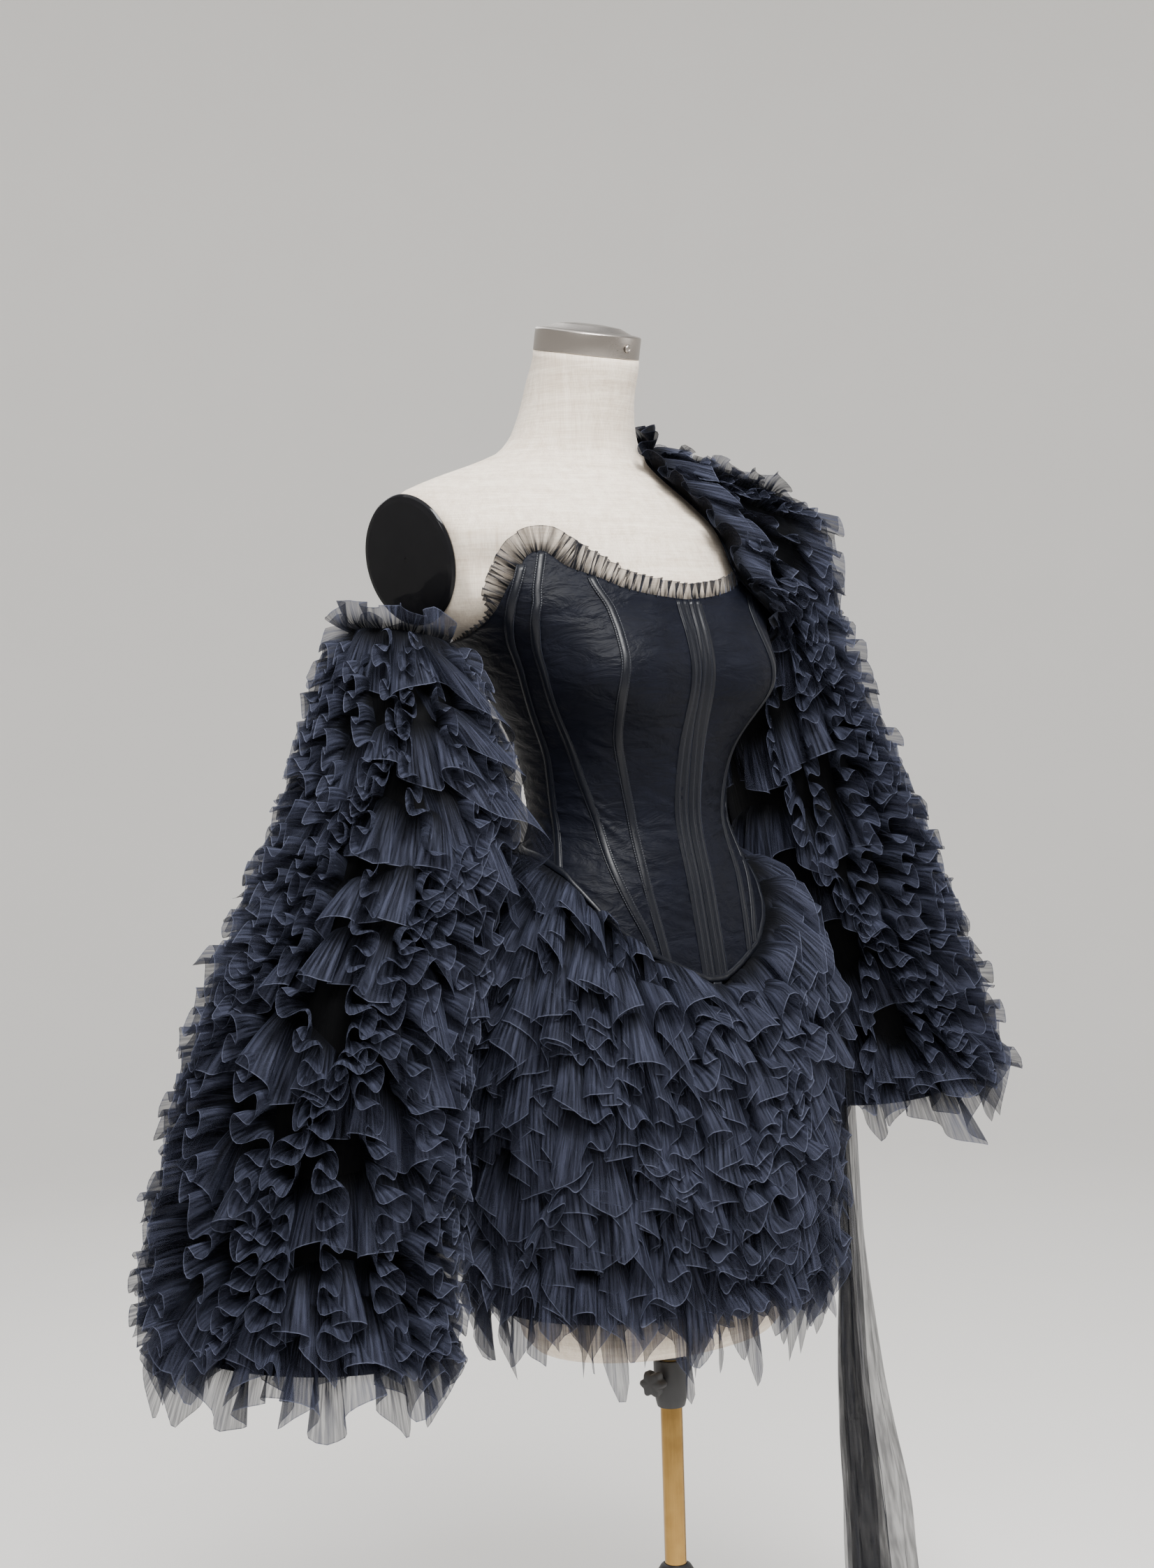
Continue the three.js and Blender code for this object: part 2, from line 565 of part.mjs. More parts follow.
function sleeveSurface(name, side, rows) {
  const stations = STATIONS[name];
  const turns = range(SLEEVE.columns).map((c) => (2 * Math.PI * c) / SLEEVE.columns);
  const onBody = name === 'left' ? stations[1].s : 0;
  const grid = rows.map((s) => turns.map((turn) => {
    const ring = ringPoint(stations, side, Math.max(s, onBody), turn);
    const spare = SLEEVE.bodySpare * bodySide(turn);
    if (s >= onBody) return clearOfForm(ring, SLEEVE.room + spare);
    const share = s / onBody, room = lerp(10, SLEEVE.room + 1, Math.sqrt(share));
    return clearOfForm(mix(shoulderPoint(turn), ring, share), room + spare);
  }));
  const middles = grid.map((row) => row.reduce((sum, p) => plus(sum, p, 1 / row.length), [0, 0, 0]));
  return surfaceOf(rows, grid, middles);
}

// The sleeve's base has a row where each tier starts, so that a tier's upper part lies along one span of it.
function sleeve(name, side, starts, hem) {
  const surface = sleeveSurface(name, side, [...starts, hem]);
  piece(`sleeve_${name}_base`, wallOf(surface, TULLE_WALL, true), tulle());
  starts.forEach((start, i) => {
    const last = i === starts.length - 1;
    const length = ((last ? hem + 20 : starts[i + 1]) - start) * (last ? 1.15 : SLEEVE.overlap);
    ruffle(`sleeve_${name}_ruffle_${i + 1}`, surface, {
      from: () => start + 3,
      length: (turn) => length * lerp(1, [0.3, 0.62][i] ?? 1, bodySide(turn)),
      seat: (turn) => 0.9 + (i === 0 ? 2.2 * bodySide(turn) : 0),
      height: (turn) => lerp([26, 34, 28][i] ?? 30, [1.2, 4, 7, 9][Math.min(i, 3)], bodySide(turn)),
      waves: SLEEVE.waves,
      wave: (turn) => lerp(0.4, 0.1, bodySide(turn)),
      phase: i * 2.3 + side,
      shares: [0, last ? 0.6 : 1 / SLEEVE.overlap, 1],
      spikes: last ? 26 : 6,
    });
  });
  return surface;
}

const leftSleeve = sleeve('left', 1, [0, 58, 122, 205, 310, 420, 530], 668);
const rightSleeve = sleeve('right', -1, [0, 85, 190, 305, 425, 540], 640);

// The shrug's plain back joins the back half of the left shoulder line to the back of the right sleeve's top.
function shrugBack() {
  const columns = 10, rows = 6, half = SLEEVE.columns / 2;
  // A seam point lies past a sleeve's first row, on the inside of its wall or on its outside.
  const seamPoint = (surface, c, thick) => {
    const away = unit(minus(surface.grid[0][c], surface.grid[1][c]));
    return plus(plus(surface.grid[0][c], away, SEAM + 0.1), surface.normals[0][c], thick - TULLE_WALL);
  };
  const place = (p) => {
    const { angle, reach } = formPlace(p);
    return { angle: (angle + 2 * Math.PI) % (2 * Math.PI), z: p[2], out: reach - formRadius(angle, p[2]) };
  };
  const grid = (thick) => range(rows).map((r) => {
    const ends = [seamPoint(leftSleeve, half + 3 + r, thick), seamPoint(rightSleeve, half + 2 + r, thick)];
    const [a, b] = ends.map(place);
    const inside = range(columns - 1).map((i) => {
      const t = (i + 1) / columns;
      const out = 11 + thick + (a.out - 11) * (1 - t) ** 6 + (b.out - 11) * t ** 6;
      return formPoint(lerp(a.angle, b.angle, t), lerp(a.z, b.z, t), out);
    });
    return [ends[0], ...inside, ends[1]];
  });
  piece('shrug_back', wallGeometry(grid(0), grid(TULLE_WALL), false, true), tulle());
}
shrugBack();

// The sash tail: a folded length of tulle from the corset's lower edge at the left hip, widening downwards.
const SASH = table('z x y wide fold turn', [
  [215, 288, -22, 84, 12, -60],
  [385, 277, -20, 76, 11, -60],
  [545, 260, -17, 51, 9, -60],
  [700, 252, -16, 28, 7, -60],
  [860, 248, -14, 22, 5, -60],
  [920, 238, -11, 20, 5, -60],
  [980, 224, -10, 18, 4, -64],
  [1038, 190, -10, 16, 4, -96],
  [1052, 178.5, -7.5, 15, 3.5, -104],
  [1066, 163.5, -3.8, 14, 3, -104],
  [1078, 149.9, -0.4, 14, 3, -104],
  [1088, 137.8, 2.6, 13, 2.5, -104],
  [1097, 127.1, 5.3, 12, 2, -104],
  [1103, 123.2, 6.3, 12, 2, -104],
]);

function sashTail() {
  const heights = [215, 385, 545, 700, 860, 930, 990, 1022, 1045, 1066, 1082, 1095, 1103];
  const grid = (out) => heights.map((z) => {
    const at = (name) => column(SASH, 'z', name, z);
    const turn = at('turn') * DEGREE;
    return range(5).map((c) => {
      const across = (c / 4 - 0.5) * at('wide'), deep = (c % 2 ? 0.5 : -0.5) * at('fold') + out;
      return [at('x') + across * Math.cos(turn) + deep * Math.sin(turn),
        at('y') + across * Math.sin(turn) - deep * Math.cos(turn), z];
    });
  });
  piece('sash_tail', wallGeometry(grid(0), grid(TULLE_WALL), false, true), tulle());
}
sashTail();

// The dress form, its arm plates, its cap and its stand.
function plateFrame(side) {
  const frame = new THREE.Matrix4().makeTranslation(side * PLATE.x, PLATE.y, PLATE.z);
  frame.multiply(new THREE.Matrix4().makeRotationZ(side * -PLATE.turn * DEGREE));
  frame.multiply(new THREE.Matrix4().makeRotationY(side * PLATE.tilt * DEGREE));
  return frame;
}

function dressForm() {
  const heights = FORM_ROWS.map((row) => row.z).filter((z) => ![634, 800, 1350, 1542].includes(z));
  const angles = range(FORM.columns).map((c) => (2 * Math.PI * (c + 0.5)) / FORM.columns);
  const skin = (angle, z) => {
    const turn = Math.abs(Math.atan2(Math.sin(angle), Math.cos(angle))) / DEGREE;
    const underarm = Math.exp(-(((turn - UNDERARM.angle) / UNDERARM.wide) ** 2)) * smooth((z - 1280) / 40);
    const [x, y] = formPoint(angle, z, -FORM.squeeze * (1 + 2.3 * underarm) * (1 - smooth((z - 1390) / 45)));
    const tilt = Math.tan(CAP.tilt * DEGREE) * smooth((z - 1520) / (CAP.low - 1520));
    return [x, y, z + (y - sectionMiddle(z)) * tilt];
  };
  let form = solidOf(ringSolid(heights.map((z) => angles.map((angle) => skin(angle, z)))));
  for (const side of [-1, 1]) {
    const slab = new THREE.BoxGeometry(120, 260, 168);
    slab.translate(side * 60, 0, 4);
    slab.applyMatrix4(plateFrame(side));
    form = form.subtract(solidOf(slab));
  }
  const socket = new THREE.CylinderGeometry(SOCKET.radius + SEAM, SOCKET.radius + SEAM, 400, 24);
  socket.rotateX(Math.PI / 2);
  socket.translate(0, 0, SOCKET.high + SEAM - 200);
  form = form.subtract(solidOf(socket));
  piece('form_torso', geometryOf(form), linen());
}
dressForm();

function armPlate(name, side) {
  const profile = [[0, 0], [1, 0], [1.02, 0.35], [0.97, 0.8], [0.86, 1], [0, 1.12]];
  const points = profile.map(([r, h]) => new THREE.Vector2(r, h * PLATE.thick));
  const plate = new THREE.LatheGeometry(points, 24);
  plate.rotateX(Math.PI / 2);
  plate.rotateY((side * Math.PI) / 2);
  plate.scale(1, PLATE.halfWidth, PLATE.halfHeight);
  plate.translate(side * SEAM, 0, 0);
  plate.applyMatrix4(plateFrame(side));
  piece(name, mergedPlain(plate), gloss());
}

function mergedPlain(geometry) {
  geometry.deleteAttribute('normal');
  geometry.deleteAttribute('uv');
  const merged = mergeVertices(geometry, 1e-4);
  return geometryOf(solidOf(merged));
}

armPlate('arm_plate_right', -1);
armPlate('arm_plate_left', 1);

// A turned solid about the Z axis through the origin, from radius and height pairs.
function turned(profile, segments) {
  const lathe = new THREE.LatheGeometry(profile.map(([r, z]) => new THREE.Vector2(r, z)), segments);
  lathe.rotateX(Math.PI / 2);
  return lathe;
}

function neckCap() {
  const r = CAP.radius;
  const seat = new THREE.Matrix4().makeTranslation(0, sectionMiddle(CAP.low), CAP.low);
  seat.multiply(new THREE.Matrix4().makeRotationX(CAP.tilt * DEGREE));
  const top = CAP.band + CAP.dome;
  const profile = [
    [0, SEAM], [r, SEAM], [r, CAP.band], [r - 1.5, CAP.band + 1.2], [r - 8, CAP.band + 2.4],
    [r * 0.6, top - CAP.dome * 0.2], [0, top],
  ];
  const cap = turned(profile, 28);
  cap.applyMatrix4(seat);
  piece('neck_cap', mergedPlain(cap), steel());
  const screw = turned([[0, 0], [4.2, 0], [4.2, 1.6], [3, 2.6], [0, 2.6]], 12);
  screw.rotateX(Math.PI / 2);
  screw.translate(0, -r - SEAM, CAP.band / 2);
  screw.rotateZ(8 * DEGREE);
  screw.applyMatrix4(seat);
  piece('neck_cap_screw', mergedPlain(screw), steel());
}
neckCap();

// A turned part of the stand, on the pole's axis.
const onPole = (name, profile, segments, material) =>
  piece(name, mergedPlain(turned(profile, segments)), material);

function stand() {
  const bore = POLE.radius + SEAM;
  const { radius: tubeRadius, high: tubeTop } = OUTER_TUBE;
  const tubeBore = tubeRadius + SEAM, tubeFoot = BASE.crown + SEAM;
  onPole('base_disc', [
    [0, 0], [BASE.radius - 4, 0], [BASE.radius, 3], [BASE.radius, BASE.thick - 3],
    [BASE.radius - 4, BASE.thick], [BASE.boss + 30, BASE.crown - 2], [BASE.boss, BASE.crown], [0, BASE.crown],
  ], 40, plastic());
  onPole('outer_tube', [
    [bore, tubeFoot], [tubeRadius, tubeFoot], [tubeRadius, tubeTop], [bore, tubeTop], [bore, tubeFoot],
  ], 24, brass());
  const { radius: lowRadius, low: lowFoot, high: lowTop } = LOWER_COLLAR;
  onPole('lower_collar', [
    [tubeBore, lowFoot], [lowRadius - 2, lowFoot], [lowRadius, lowFoot + 2], [lowRadius, lowTop - 10],
    [lowRadius - 5, lowTop - 2], [lowRadius - 8, lowTop], [bore, lowTop], [bore, tubeTop + SEAM],
    [tubeBore, tubeTop + SEAM], [tubeBore, lowFoot],
  ], 24, plastic());
  onPole('inner_pole', [
    [0, POLE.low], [POLE.radius - 1, POLE.low], [POLE.radius, POLE.low + 1], [POLE.radius, POLE.high],
    [0, POLE.high],
  ], 24, brass());
  const { radius: highRadius, low: highFoot, high: highTop } = UPPER_COLLAR;
  onPole('upper_collar', [
    [bore, highFoot], [highRadius - 3, highFoot], [highRadius - 1, highFoot + 8],
    [highRadius, highFoot + 24], [highRadius, highTop], [bore, highTop], [bore, highFoot],
  ], 24, plastic());
  onPole('form_socket', [
    [bore, SOCKET.low], [SOCKET.radius, SOCKET.low], [SOCKET.radius, SOCKET.high], [0, SOCKET.high],
    [0, POLE.high + SEAM], [bore, POLE.high + SEAM], [bore, SOCKET.low],
  ], 24, plastic());
}
stand();

// A star knob on a clamp collar: a lobed grip on a short boss, pointing to the form's right and front.
function starKnob(name, radius, z, turn) {
  const lobes = 6, steps = 18, grip = 12, middle = 9;
  const outline = range(steps).map((i) => {
    const angle = (2 * Math.PI * i) / steps;
    const reach = grip * (1 + 0.16 * Math.cos(lobes * angle));
    return [reach * Math.cos(angle), reach * Math.sin(angle)];
  });
  const boss = outline.map((p) => p.map((value) => (value / Math.hypot(...p)) * 5));
  const ring = (points, depth, scale = 1) => points.map(([a, b]) => [a * scale, -depth, b * scale]);
  const knob = ringSolid([
    ring(boss, 0), ring(boss, middle - 2), ring(outline, middle, 0.86),
    ring(outline, middle + 2), ring(outline, middle + 9), ring(outline, middle + 12, 0.8),
  ]);
  knob.translate(0, -(radius + SEAM), 0);
  knob.rotateZ(turn * DEGREE);
  knob.translate(0, 0, z);
  piece(name, knob, plastic());
}
starKnob('upper_knob', UPPER_COLLAR.radius, UPPER_COLLAR.low + 30, -75);
starKnob('lower_knob', LOWER_COLLAR.radius, LOWER_COLLAR.low + 18, -75);

export default dress;
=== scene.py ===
import math

import bpy
import numpy as np
from mathutils import Matrix, Vector


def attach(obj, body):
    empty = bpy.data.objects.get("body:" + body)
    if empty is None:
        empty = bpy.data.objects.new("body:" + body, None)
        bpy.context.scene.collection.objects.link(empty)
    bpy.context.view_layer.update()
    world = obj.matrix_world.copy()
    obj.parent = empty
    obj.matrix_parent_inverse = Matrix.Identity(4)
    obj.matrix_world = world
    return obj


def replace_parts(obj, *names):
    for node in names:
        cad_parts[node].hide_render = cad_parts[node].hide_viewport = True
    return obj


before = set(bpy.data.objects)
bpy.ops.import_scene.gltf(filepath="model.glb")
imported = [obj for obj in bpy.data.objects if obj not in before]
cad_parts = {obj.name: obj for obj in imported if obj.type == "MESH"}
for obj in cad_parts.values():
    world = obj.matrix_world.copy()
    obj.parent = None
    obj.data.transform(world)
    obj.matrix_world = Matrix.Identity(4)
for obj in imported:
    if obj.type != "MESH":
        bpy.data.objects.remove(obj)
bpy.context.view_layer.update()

# ---------------------------------------------------------------------------------------------------
# The stand. A cast iron disc with black enamel carries a brass tube, in which the brass pole slides; two
# black nylon collars with star knobs clamp them. All but the knobs are turned parts.
# ---------------------------------------------------------------------------------------------------
POLE, TUBE, GAP = 11.2, 14.2, 0.3


def grid_faces(rows, columns, round_it=False, wrap_rows=False):
    """Quads of a grid numbered row by row. round_it joins the last column to the first, wrap_rows the last row."""
    r = np.arange(rows if wrap_rows else rows - 1)[:, None]
    c = np.arange(columns if round_it else columns - 1)[None, :]
    below, beside = (r + 1) % rows, (c + 1) % columns
    corners = [r * columns + c, r * columns + beside, below * columns + beside, below * columns + c]
    return np.stack(np.broadcast_arrays(*corners), -1).reshape(-1, 4)


def piece(name, points, quads, fans=None, uv=None, marks=None, body="form", finish=None, closed=True):
    """A mesh of quads, and of triangles in fans, from points in millimetres. A closed mesh whose volume comes
    out negative has its faces turned round. uv is a pair and each of marks a number for every point."""
    points = np.asarray(points, float).reshape(-1, 3) * 0.001
    quads = np.asarray(quads, int).reshape(-1, 4)
    fans = np.zeros((0, 3), int) if fans is None else np.asarray(fans, int).reshape(-1, 3)
    if closed:
        halves = np.concatenate([quads[:, [0, 1, 2]], quads[:, [0, 2, 3]], fans])
        a, b, c = points[halves].transpose(1, 0, 2)
        if (a * np.cross(b, c)).sum() < 0:
            quads, fans = quads[:, ::-1], fans[:, ::-1]
    loops = np.concatenate([quads.ravel(), fans.ravel()])
    starts = np.concatenate([np.arange(len(quads)) * 4, len(quads) * 4 + np.arange(len(fans)) * 3])
    mesh = bpy.data.meshes.new(name)
    mesh.vertices.add(len(points))
    mesh.vertices.foreach_set("co", points.ravel())
    mesh.loops.add(len(loops))
    mesh.loops.foreach_set("vertex_index", loops)
    mesh.polygons.add(len(starts))
    mesh.polygons.foreach_set("loop_start", starts)
    mesh.update(calc_edges=True)
    mesh.validate()
    mesh.polygons.foreach_set("use_smooth", np.ones(len(mesh.polygons), bool))
    if uv is not None:
        layer = mesh.uv_layers.new(name="cloth")
        layer.data.foreach_set("uv", np.asarray(uv, float).reshape(-1, 2)[loops].ravel())
    for mark, values in (marks or {}).items():
        mesh.attributes.new(mark, "FLOAT", "POINT").data.foreach_set("value", np.asarray(values, float).ravel())
    if finish is not None:
        mesh.materials.append(finish)
    made = bpy.data.objects.new(name, mesh)
    bpy.context.scene.collection.objects.link(made)
    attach(made, body)
    return made


def rounded(profile, radius=1.2):
    """A profile whose inner corners are each cut to three points of a curve, at most radius from the corner."""
    profile = np.asarray(profile, float)
    made = [profile[0]]
    for before, corner, after in zip(profile[:-2], profile[1:-1], profile[2:]):
        one, two = before - corner, after - corner
        reach = min(radius, np.linalg.norm(one) / 2.2, np.linalg.norm(two) / 2.2)
        start, end = corner + one / np.linalg.norm(one) * reach, corner + two / np.linalg.norm(two) * reach
        made += [start, (start + 2 * corner + end) / 4, end]
    return np.array(made + [profile[-1]])


def together(*parts):
    """Coordinates spread to one shape and joined into points or UVs."""
    return np.stack(np.broadcast_arrays(*parts), -1)


def end_fans(segments, rings):
    """Triangles that close the first and the last ring, each round a point that comes after all the rings."""
    first, low = np.arange(segments), segments * rings
    after, top = (first + 1) % segments, low - segments
    bottom = np.stack([np.full(segments, low), after, first], -1)
    return np.concatenate([bottom, np.stack([np.full(segments, low + 1), top + first, top + after], -1)])


def turned(profile, segments=96):
    """Carries a profile of radius and height round the Z axis. A profile that starts and ends on the axis is
    closed there with two fans, and any other one is joined into a ring."""
    profile = np.asarray(profile, float)
    solid = profile[0, 0] == 0
    ring = profile[1:-1] if solid else profile
    turn = np.linspace(0, 2 * np.pi, segments, endpoint=False)
    radius, height = ring[:, :1], ring[:, 1:]
    points = together(radius * np.cos(turn), radius * np.sin(turn), height).reshape(-1, 3)
    quads = grid_faces(len(ring), segments, round_it=True, wrap_rows=not solid)
    if not solid:
        return points, quads, None
    points = np.concatenate([points, [[0, 0, profile[0, 1]], [0, 0, profile[-1, 1]]]])
    return points, quads, end_fans(segments, len(ring))


def finish(name, **sockets):
    """A material with one Principled shader; a socket is set by its name with underscores for spaces."""
    made = bpy.data.materials.new(name)
    made.use_nodes = True
    shader = made.node_tree.nodes["Principled BSDF"]
    for socket, value in sockets.items():
        shader.inputs[socket.replace("_", " ")].default_value = value
    return made, made.node_tree, shader


def node(tree, kind, inputs=None, **settings):
    """Adds a node. inputs gives each named or numbered socket a value or the socket it is fed from."""
    made = tree.nodes.new(kind)
    for setting, value in settings.items():
        setattr(made, setting, value)
    for key, value in (inputs or {}).items():
        if isinstance(value, bpy.types.NodeSocket):
            tree.links.new(value, made.inputs[key])
        else:
            made.inputs[key].default_value = value
    return made


def place_of(tree):
    """The place on the piece, in the object's own metres."""
    return node(tree, "ShaderNodeTexCoord").outputs["Object"]


def noise(tree, at, scale, detail, **settings):
    """Soft noise from 0 to 1 at a place."""
    return node(tree, "ShaderNodeTexNoise", {"Vector": at, "Scale": scale, "Detail": detail, **settings}).outputs["Fac"]


def relief(tree, height, strength, distance, **settings):
    """The normal of a relief whose height is given, at most distance metres high."""
    sockets = {"Height": height, "Strength": strength, "Distance": distance, **settings}
    return node(tree, "ShaderNodeBump", sockets).outputs[0]


def feed(tree, shader, **sources):
    """Feeds a shader's sockets, each named with underscores for spaces."""
    for socket, source in sources.items():
        tree.links.new(source, shader.inputs[socket.replace("_", " ")])


def cloth_run(tree):
    """The place on the cloth: across it and along it in metres."""
    return node(tree, "ShaderNodeUVMap", uv_map="cloth").outputs[0]


def sums(tree, operation, first, second=0.0, third=0.0, clamp=False):
    """The result of one sum on two or three values or sockets."""
    made = node(tree, "ShaderNodeMath", {0: first, 1: second, 2: third}, operation=operation, use_clamp=clamp)
    return made.outputs[0]


def between(tree, share, first, second):
    """A colour from first to second by a share."""
    made = node(tree, "ShaderNodeMix", {"Factor": share}, data_type="RGBA")
    for socket, value in ((made.inputs[6], first), (made.inputs[7], second)):
        if isinstance(value, bpy.types.NodeSocket):
            tree.links.new(value, socket)
        else:
            socket.default_value = (*value, 1)
    return made.outputs[2]


def group(name, wanted, given):
    """A shader node group with float, vector or colour sockets, given as name: default, or as name: kind."""
    made = bpy.data.node_groups.new(name, "ShaderNodeTree")
    kinds = {float: "NodeSocketFloat", tuple: "NodeSocketVector"}
    for socket, default in given.items():
        new = made.interface.new_socket(socket, in_out="INPUT", socket_type=kinds[type(default)])
        if isinstance(default, float):
            new.default_value = default
    for socket, kind in wanted.items():
        made.interface.new_socket(socket, in_out="OUTPUT", socket_type=kind)
    return made, made.nodes.new("NodeGroupInput"), made.nodes.new("NodeGroupOutput")


def use(tree, made, **inputs):
    """Places a node group in a material with its own values."""
    return node(tree, "ShaderNodeGroup", {k.replace("_", " "): v for k, v in inputs.items()}, node_tree=made)


# Handling wear: rubbed patches and fine scratches as one mask, for metal, enamel and plastic.
MASK_AND_HEIGHT = {"Mask": "NodeSocketFloat", "Height": "NodeSocketFloat"}
handling, inside, out = group("handling wear", MASK_AND_HEIGHT, {"Vector": (0, 0, 0), "Size": 60.0, "Stretch": 1.0})
drawn = node(handling, "ShaderNodeCombineXYZ", {0: 1.0, 1: 1.0, 2: inside.outputs["Stretch"]})
factors = {0: inside.outputs["Vector"], 1: drawn.outputs[0]}
stretched = node(handling, "ShaderNodeVectorMath", factors, operation="MULTIPLY")
patches = noise(handling, inside.outputs["Vector"], inside.outputs["Size"], 5.0)
scratches = noise(handling, stretched.outputs[0], 900.0, 2.0)
mask = sums(handling, "MULTIPLY_ADD", scratches, 0.35, sums(handling, "MULTIPLY", patches, 0.65))
handling.links.new(mask, out.inputs["Mask"])
handling.links.new(scratches, out.inputs["Height"])


def worn_finish(name, dull, bright, smooth, rough, size=60.0, stretch=1.0, bump=0.02, **sockets):
    """A hard finish whose colour and roughness run between two values by the handling wear."""
    made, tree, shader = finish(name, **sockets)
    mask, height = use(tree, handling, Vector=place_of(tree), Size=size, Stretch=stretch).outputs
    feed(tree, shader, Base_Color=between(tree, mask, dull, bright), Normal=relief(tree, height, bump, 0.0004))
    feed(tree, shader, Roughness=sums(tree, "MULTIPLY_ADD", mask, rough - smooth, smooth))
    return made


brass = worn_finish("polished brass", (0.20, 0.11, 0.032), (0.48, 0.30, 0.10), 0.12, 0.3, stretch=0.03, Metallic=1.0)
nylon = worn_finish("black nylon", (0.006, 0.006, 0.007), (0.02, 0.02, 0.022), 0.38, 0.6, size=140.0, bump=0.15)
enamel = worn_finish("black enamel", (0.008, 0.008, 0.009), (0.018, 0.018, 0.02), 0.28, 0.5, size=25.0, bump=0.1)

STAND_PARTS = [
    # piece, the solid it replaces, body, slot, finish, radius of its corners, profile of radius and height
    ("base_plate", "base_disc", "stand", "base_paint", enamel, 2.0,
     [(0, 0), (156, 0), (160, 3), (160, 5), (156, 8), (110, 10), (70, 12), (40, 14), (0, 14)]),
    ("brass_tube", "outer_tube", "stand", "pole_brass", brass, 0.5,
     [(POLE + GAP, 14.3), (TUBE, 14.3), (TUBE, 366), (POLE + GAP, 366), (POLE + GAP, 14.4)]),
    ("brass_pole", "inner_pole", "upright", "pole_brass", brass, 0.4,
     [(0, 180), (POLE - 1, 180), (POLE, 181), (POLE, 640), (0, 640)]),
    ("lower_clamp", "lower_collar", "stand", "collar_black", nylon, 0.9,
     [(14.5, 345), (18, 345), (20, 347), (20, 380), (15, 388), (12, 390), (11.5, 390), (11.5, 366.3), (14.5, 366.3),
      (14.5, 345.1)]),
    ("upper_clamp", "upper_collar", "upright", "collar_black", nylon, 0.9,
     [(11.5, 550), (14, 550), (16, 558), (17, 574), (17, 598), (11.5, 598), (11.5, 550.1)]),
    ("form_ferrule", "form_socket", "form", "collar_black", nylon, 0.5,
     [(11.5, 599), (13.6, 599), (13.6, 700), (0, 700), (0, 640.3), (11.5, 640.3), (11.5, 599.1)]),
]  # fmt: skip
for name, solid, body, slot, look, corner, profile in STAND_PARTS:
    made = piece(name, *turned(rounded(profile, corner)), body=body, finish=look)
    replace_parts(made, solid), made


# depth, radius and height of the lobes at each ring of a knob, from its boss outwards
KNOB_RINGS = [
    (0, 5, 0), (6.6, 5, 0), (7.6, 9, 0.1), (9, 11.2, 0.14),
    (11, 12, 0.16), (18, 12, 0.16), (20, 11.2, 0.14), (21, 9.4, 0.1),
]  # fmt: skip
KNOB_SEGMENTS, KNOB_TURN, KNOB_FACE = 72, math.radians(-75), 20.4


def star_knob(reach, height):
    """A lobed grip on a short boss: rings across the knob's axis, each a circle whose radius swells six times
    round by a cosine, drawn in at the rims and then turned to the collar's side."""
    depth, size, lobe = np.array(KNOB_RINGS, float).T[:, :, None]
    angle = np.linspace(0, 2 * np.pi, KNOB_SEGMENTS, endpoint=False)
    across = size * (1 + lobe * np.cos(6 * angle))
    points = together(across * np.cos(angle), -depth - reach, across * np.sin(angle)).reshape(-1, 3)
    x, y, z = np.concatenate([points, [[0, -reach, 0], [0, -reach - KNOB_FACE, 0]]]).T
    cos, sin = np.cos(KNOB_TURN), np.sin(KNOB_TURN)
    points = np.stack([x * cos - y * sin, x * sin + y * cos, z + height], -1)
    faces = grid_faces(len(KNOB_RINGS), KNOB_SEGMENTS, round_it=True)
    return points, faces, end_fans(KNOB_SEGMENTS, len(KNOB_RINGS))


for name, reach, height in (("upper_knob", 17.3, 580), ("lower_knob", 20.3, 363)):
    made = piece(name + "_grip", *star_knob(reach, height), body=name, finish=nylon)
    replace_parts(made, name), made

# ---------------------------------------------------------------------------------------------------
# The dress form. A padded papier-mache shell covered in natural slub linen, with its arms cut off flat and
# its neck cut level; a join runs down the middle of its front and back.
# ---------------------------------------------------------------------------------------------------
FORM_ROWS = np.array(
    # height, middle behind the pole, half width, depth in front, depth behind, squareness in front, behind
    [
        [622, 20, 140, 100, 102, 2.1, 2.1], [634, 20, 152, 110, 112, 2.1, 2.1], [700, 21, 164, 119, 121, 2.1, 2.1],
        [800, 23, 174, 126, 130, 2.1, 2.1], [900, 27, 178, 120, 132, 2.1, 2.1], [1000, 32, 165, 108, 124, 2.1, 2.1],
        [1080, 37, 131, 97, 106, 2.1, 2.1], [1148, 41, 101, 86, 86, 2.0, 2.0], [1200, 45, 106, 94, 90, 2.0, 2.0],
        [1245, 54, 120, 108, 98, 2.0, 2.0], [1290, 66, 137, 127, 110, 2.0, 2.1], [1325, 84, 158, 143, 106, 2.0, 2.3],
        [1350, 100, 188, 153, 96, 2.0, 2.5], [1374, 112, 215, 160, 86, 1.9, 2.8], [1402, 118, 224, 154, 80, 1.85, 3.0],
        [1432, 120, 226, 138, 75, 1.8, 3.0], [1458, 121, 220, 118, 66, 1.7, 2.8], [1474, 121, 204, 104, 60, 1.6, 2.4],
        [1490, 120, 166, 90, 56, 1.5, 2.0], [1505, 118, 120, 76, 54, 1.6, 1.9], [1520, 114, 84, 66, 54, 1.8, 2.0],
        [1542, 107, 67, 59, 56, 2.0, 2.0], [1580, 96, 57, 56, 56, 2.0, 2.0], [1617, 84, 54, 54, 54, 2.0, 2.0],
    ]
)  # fmt: skip


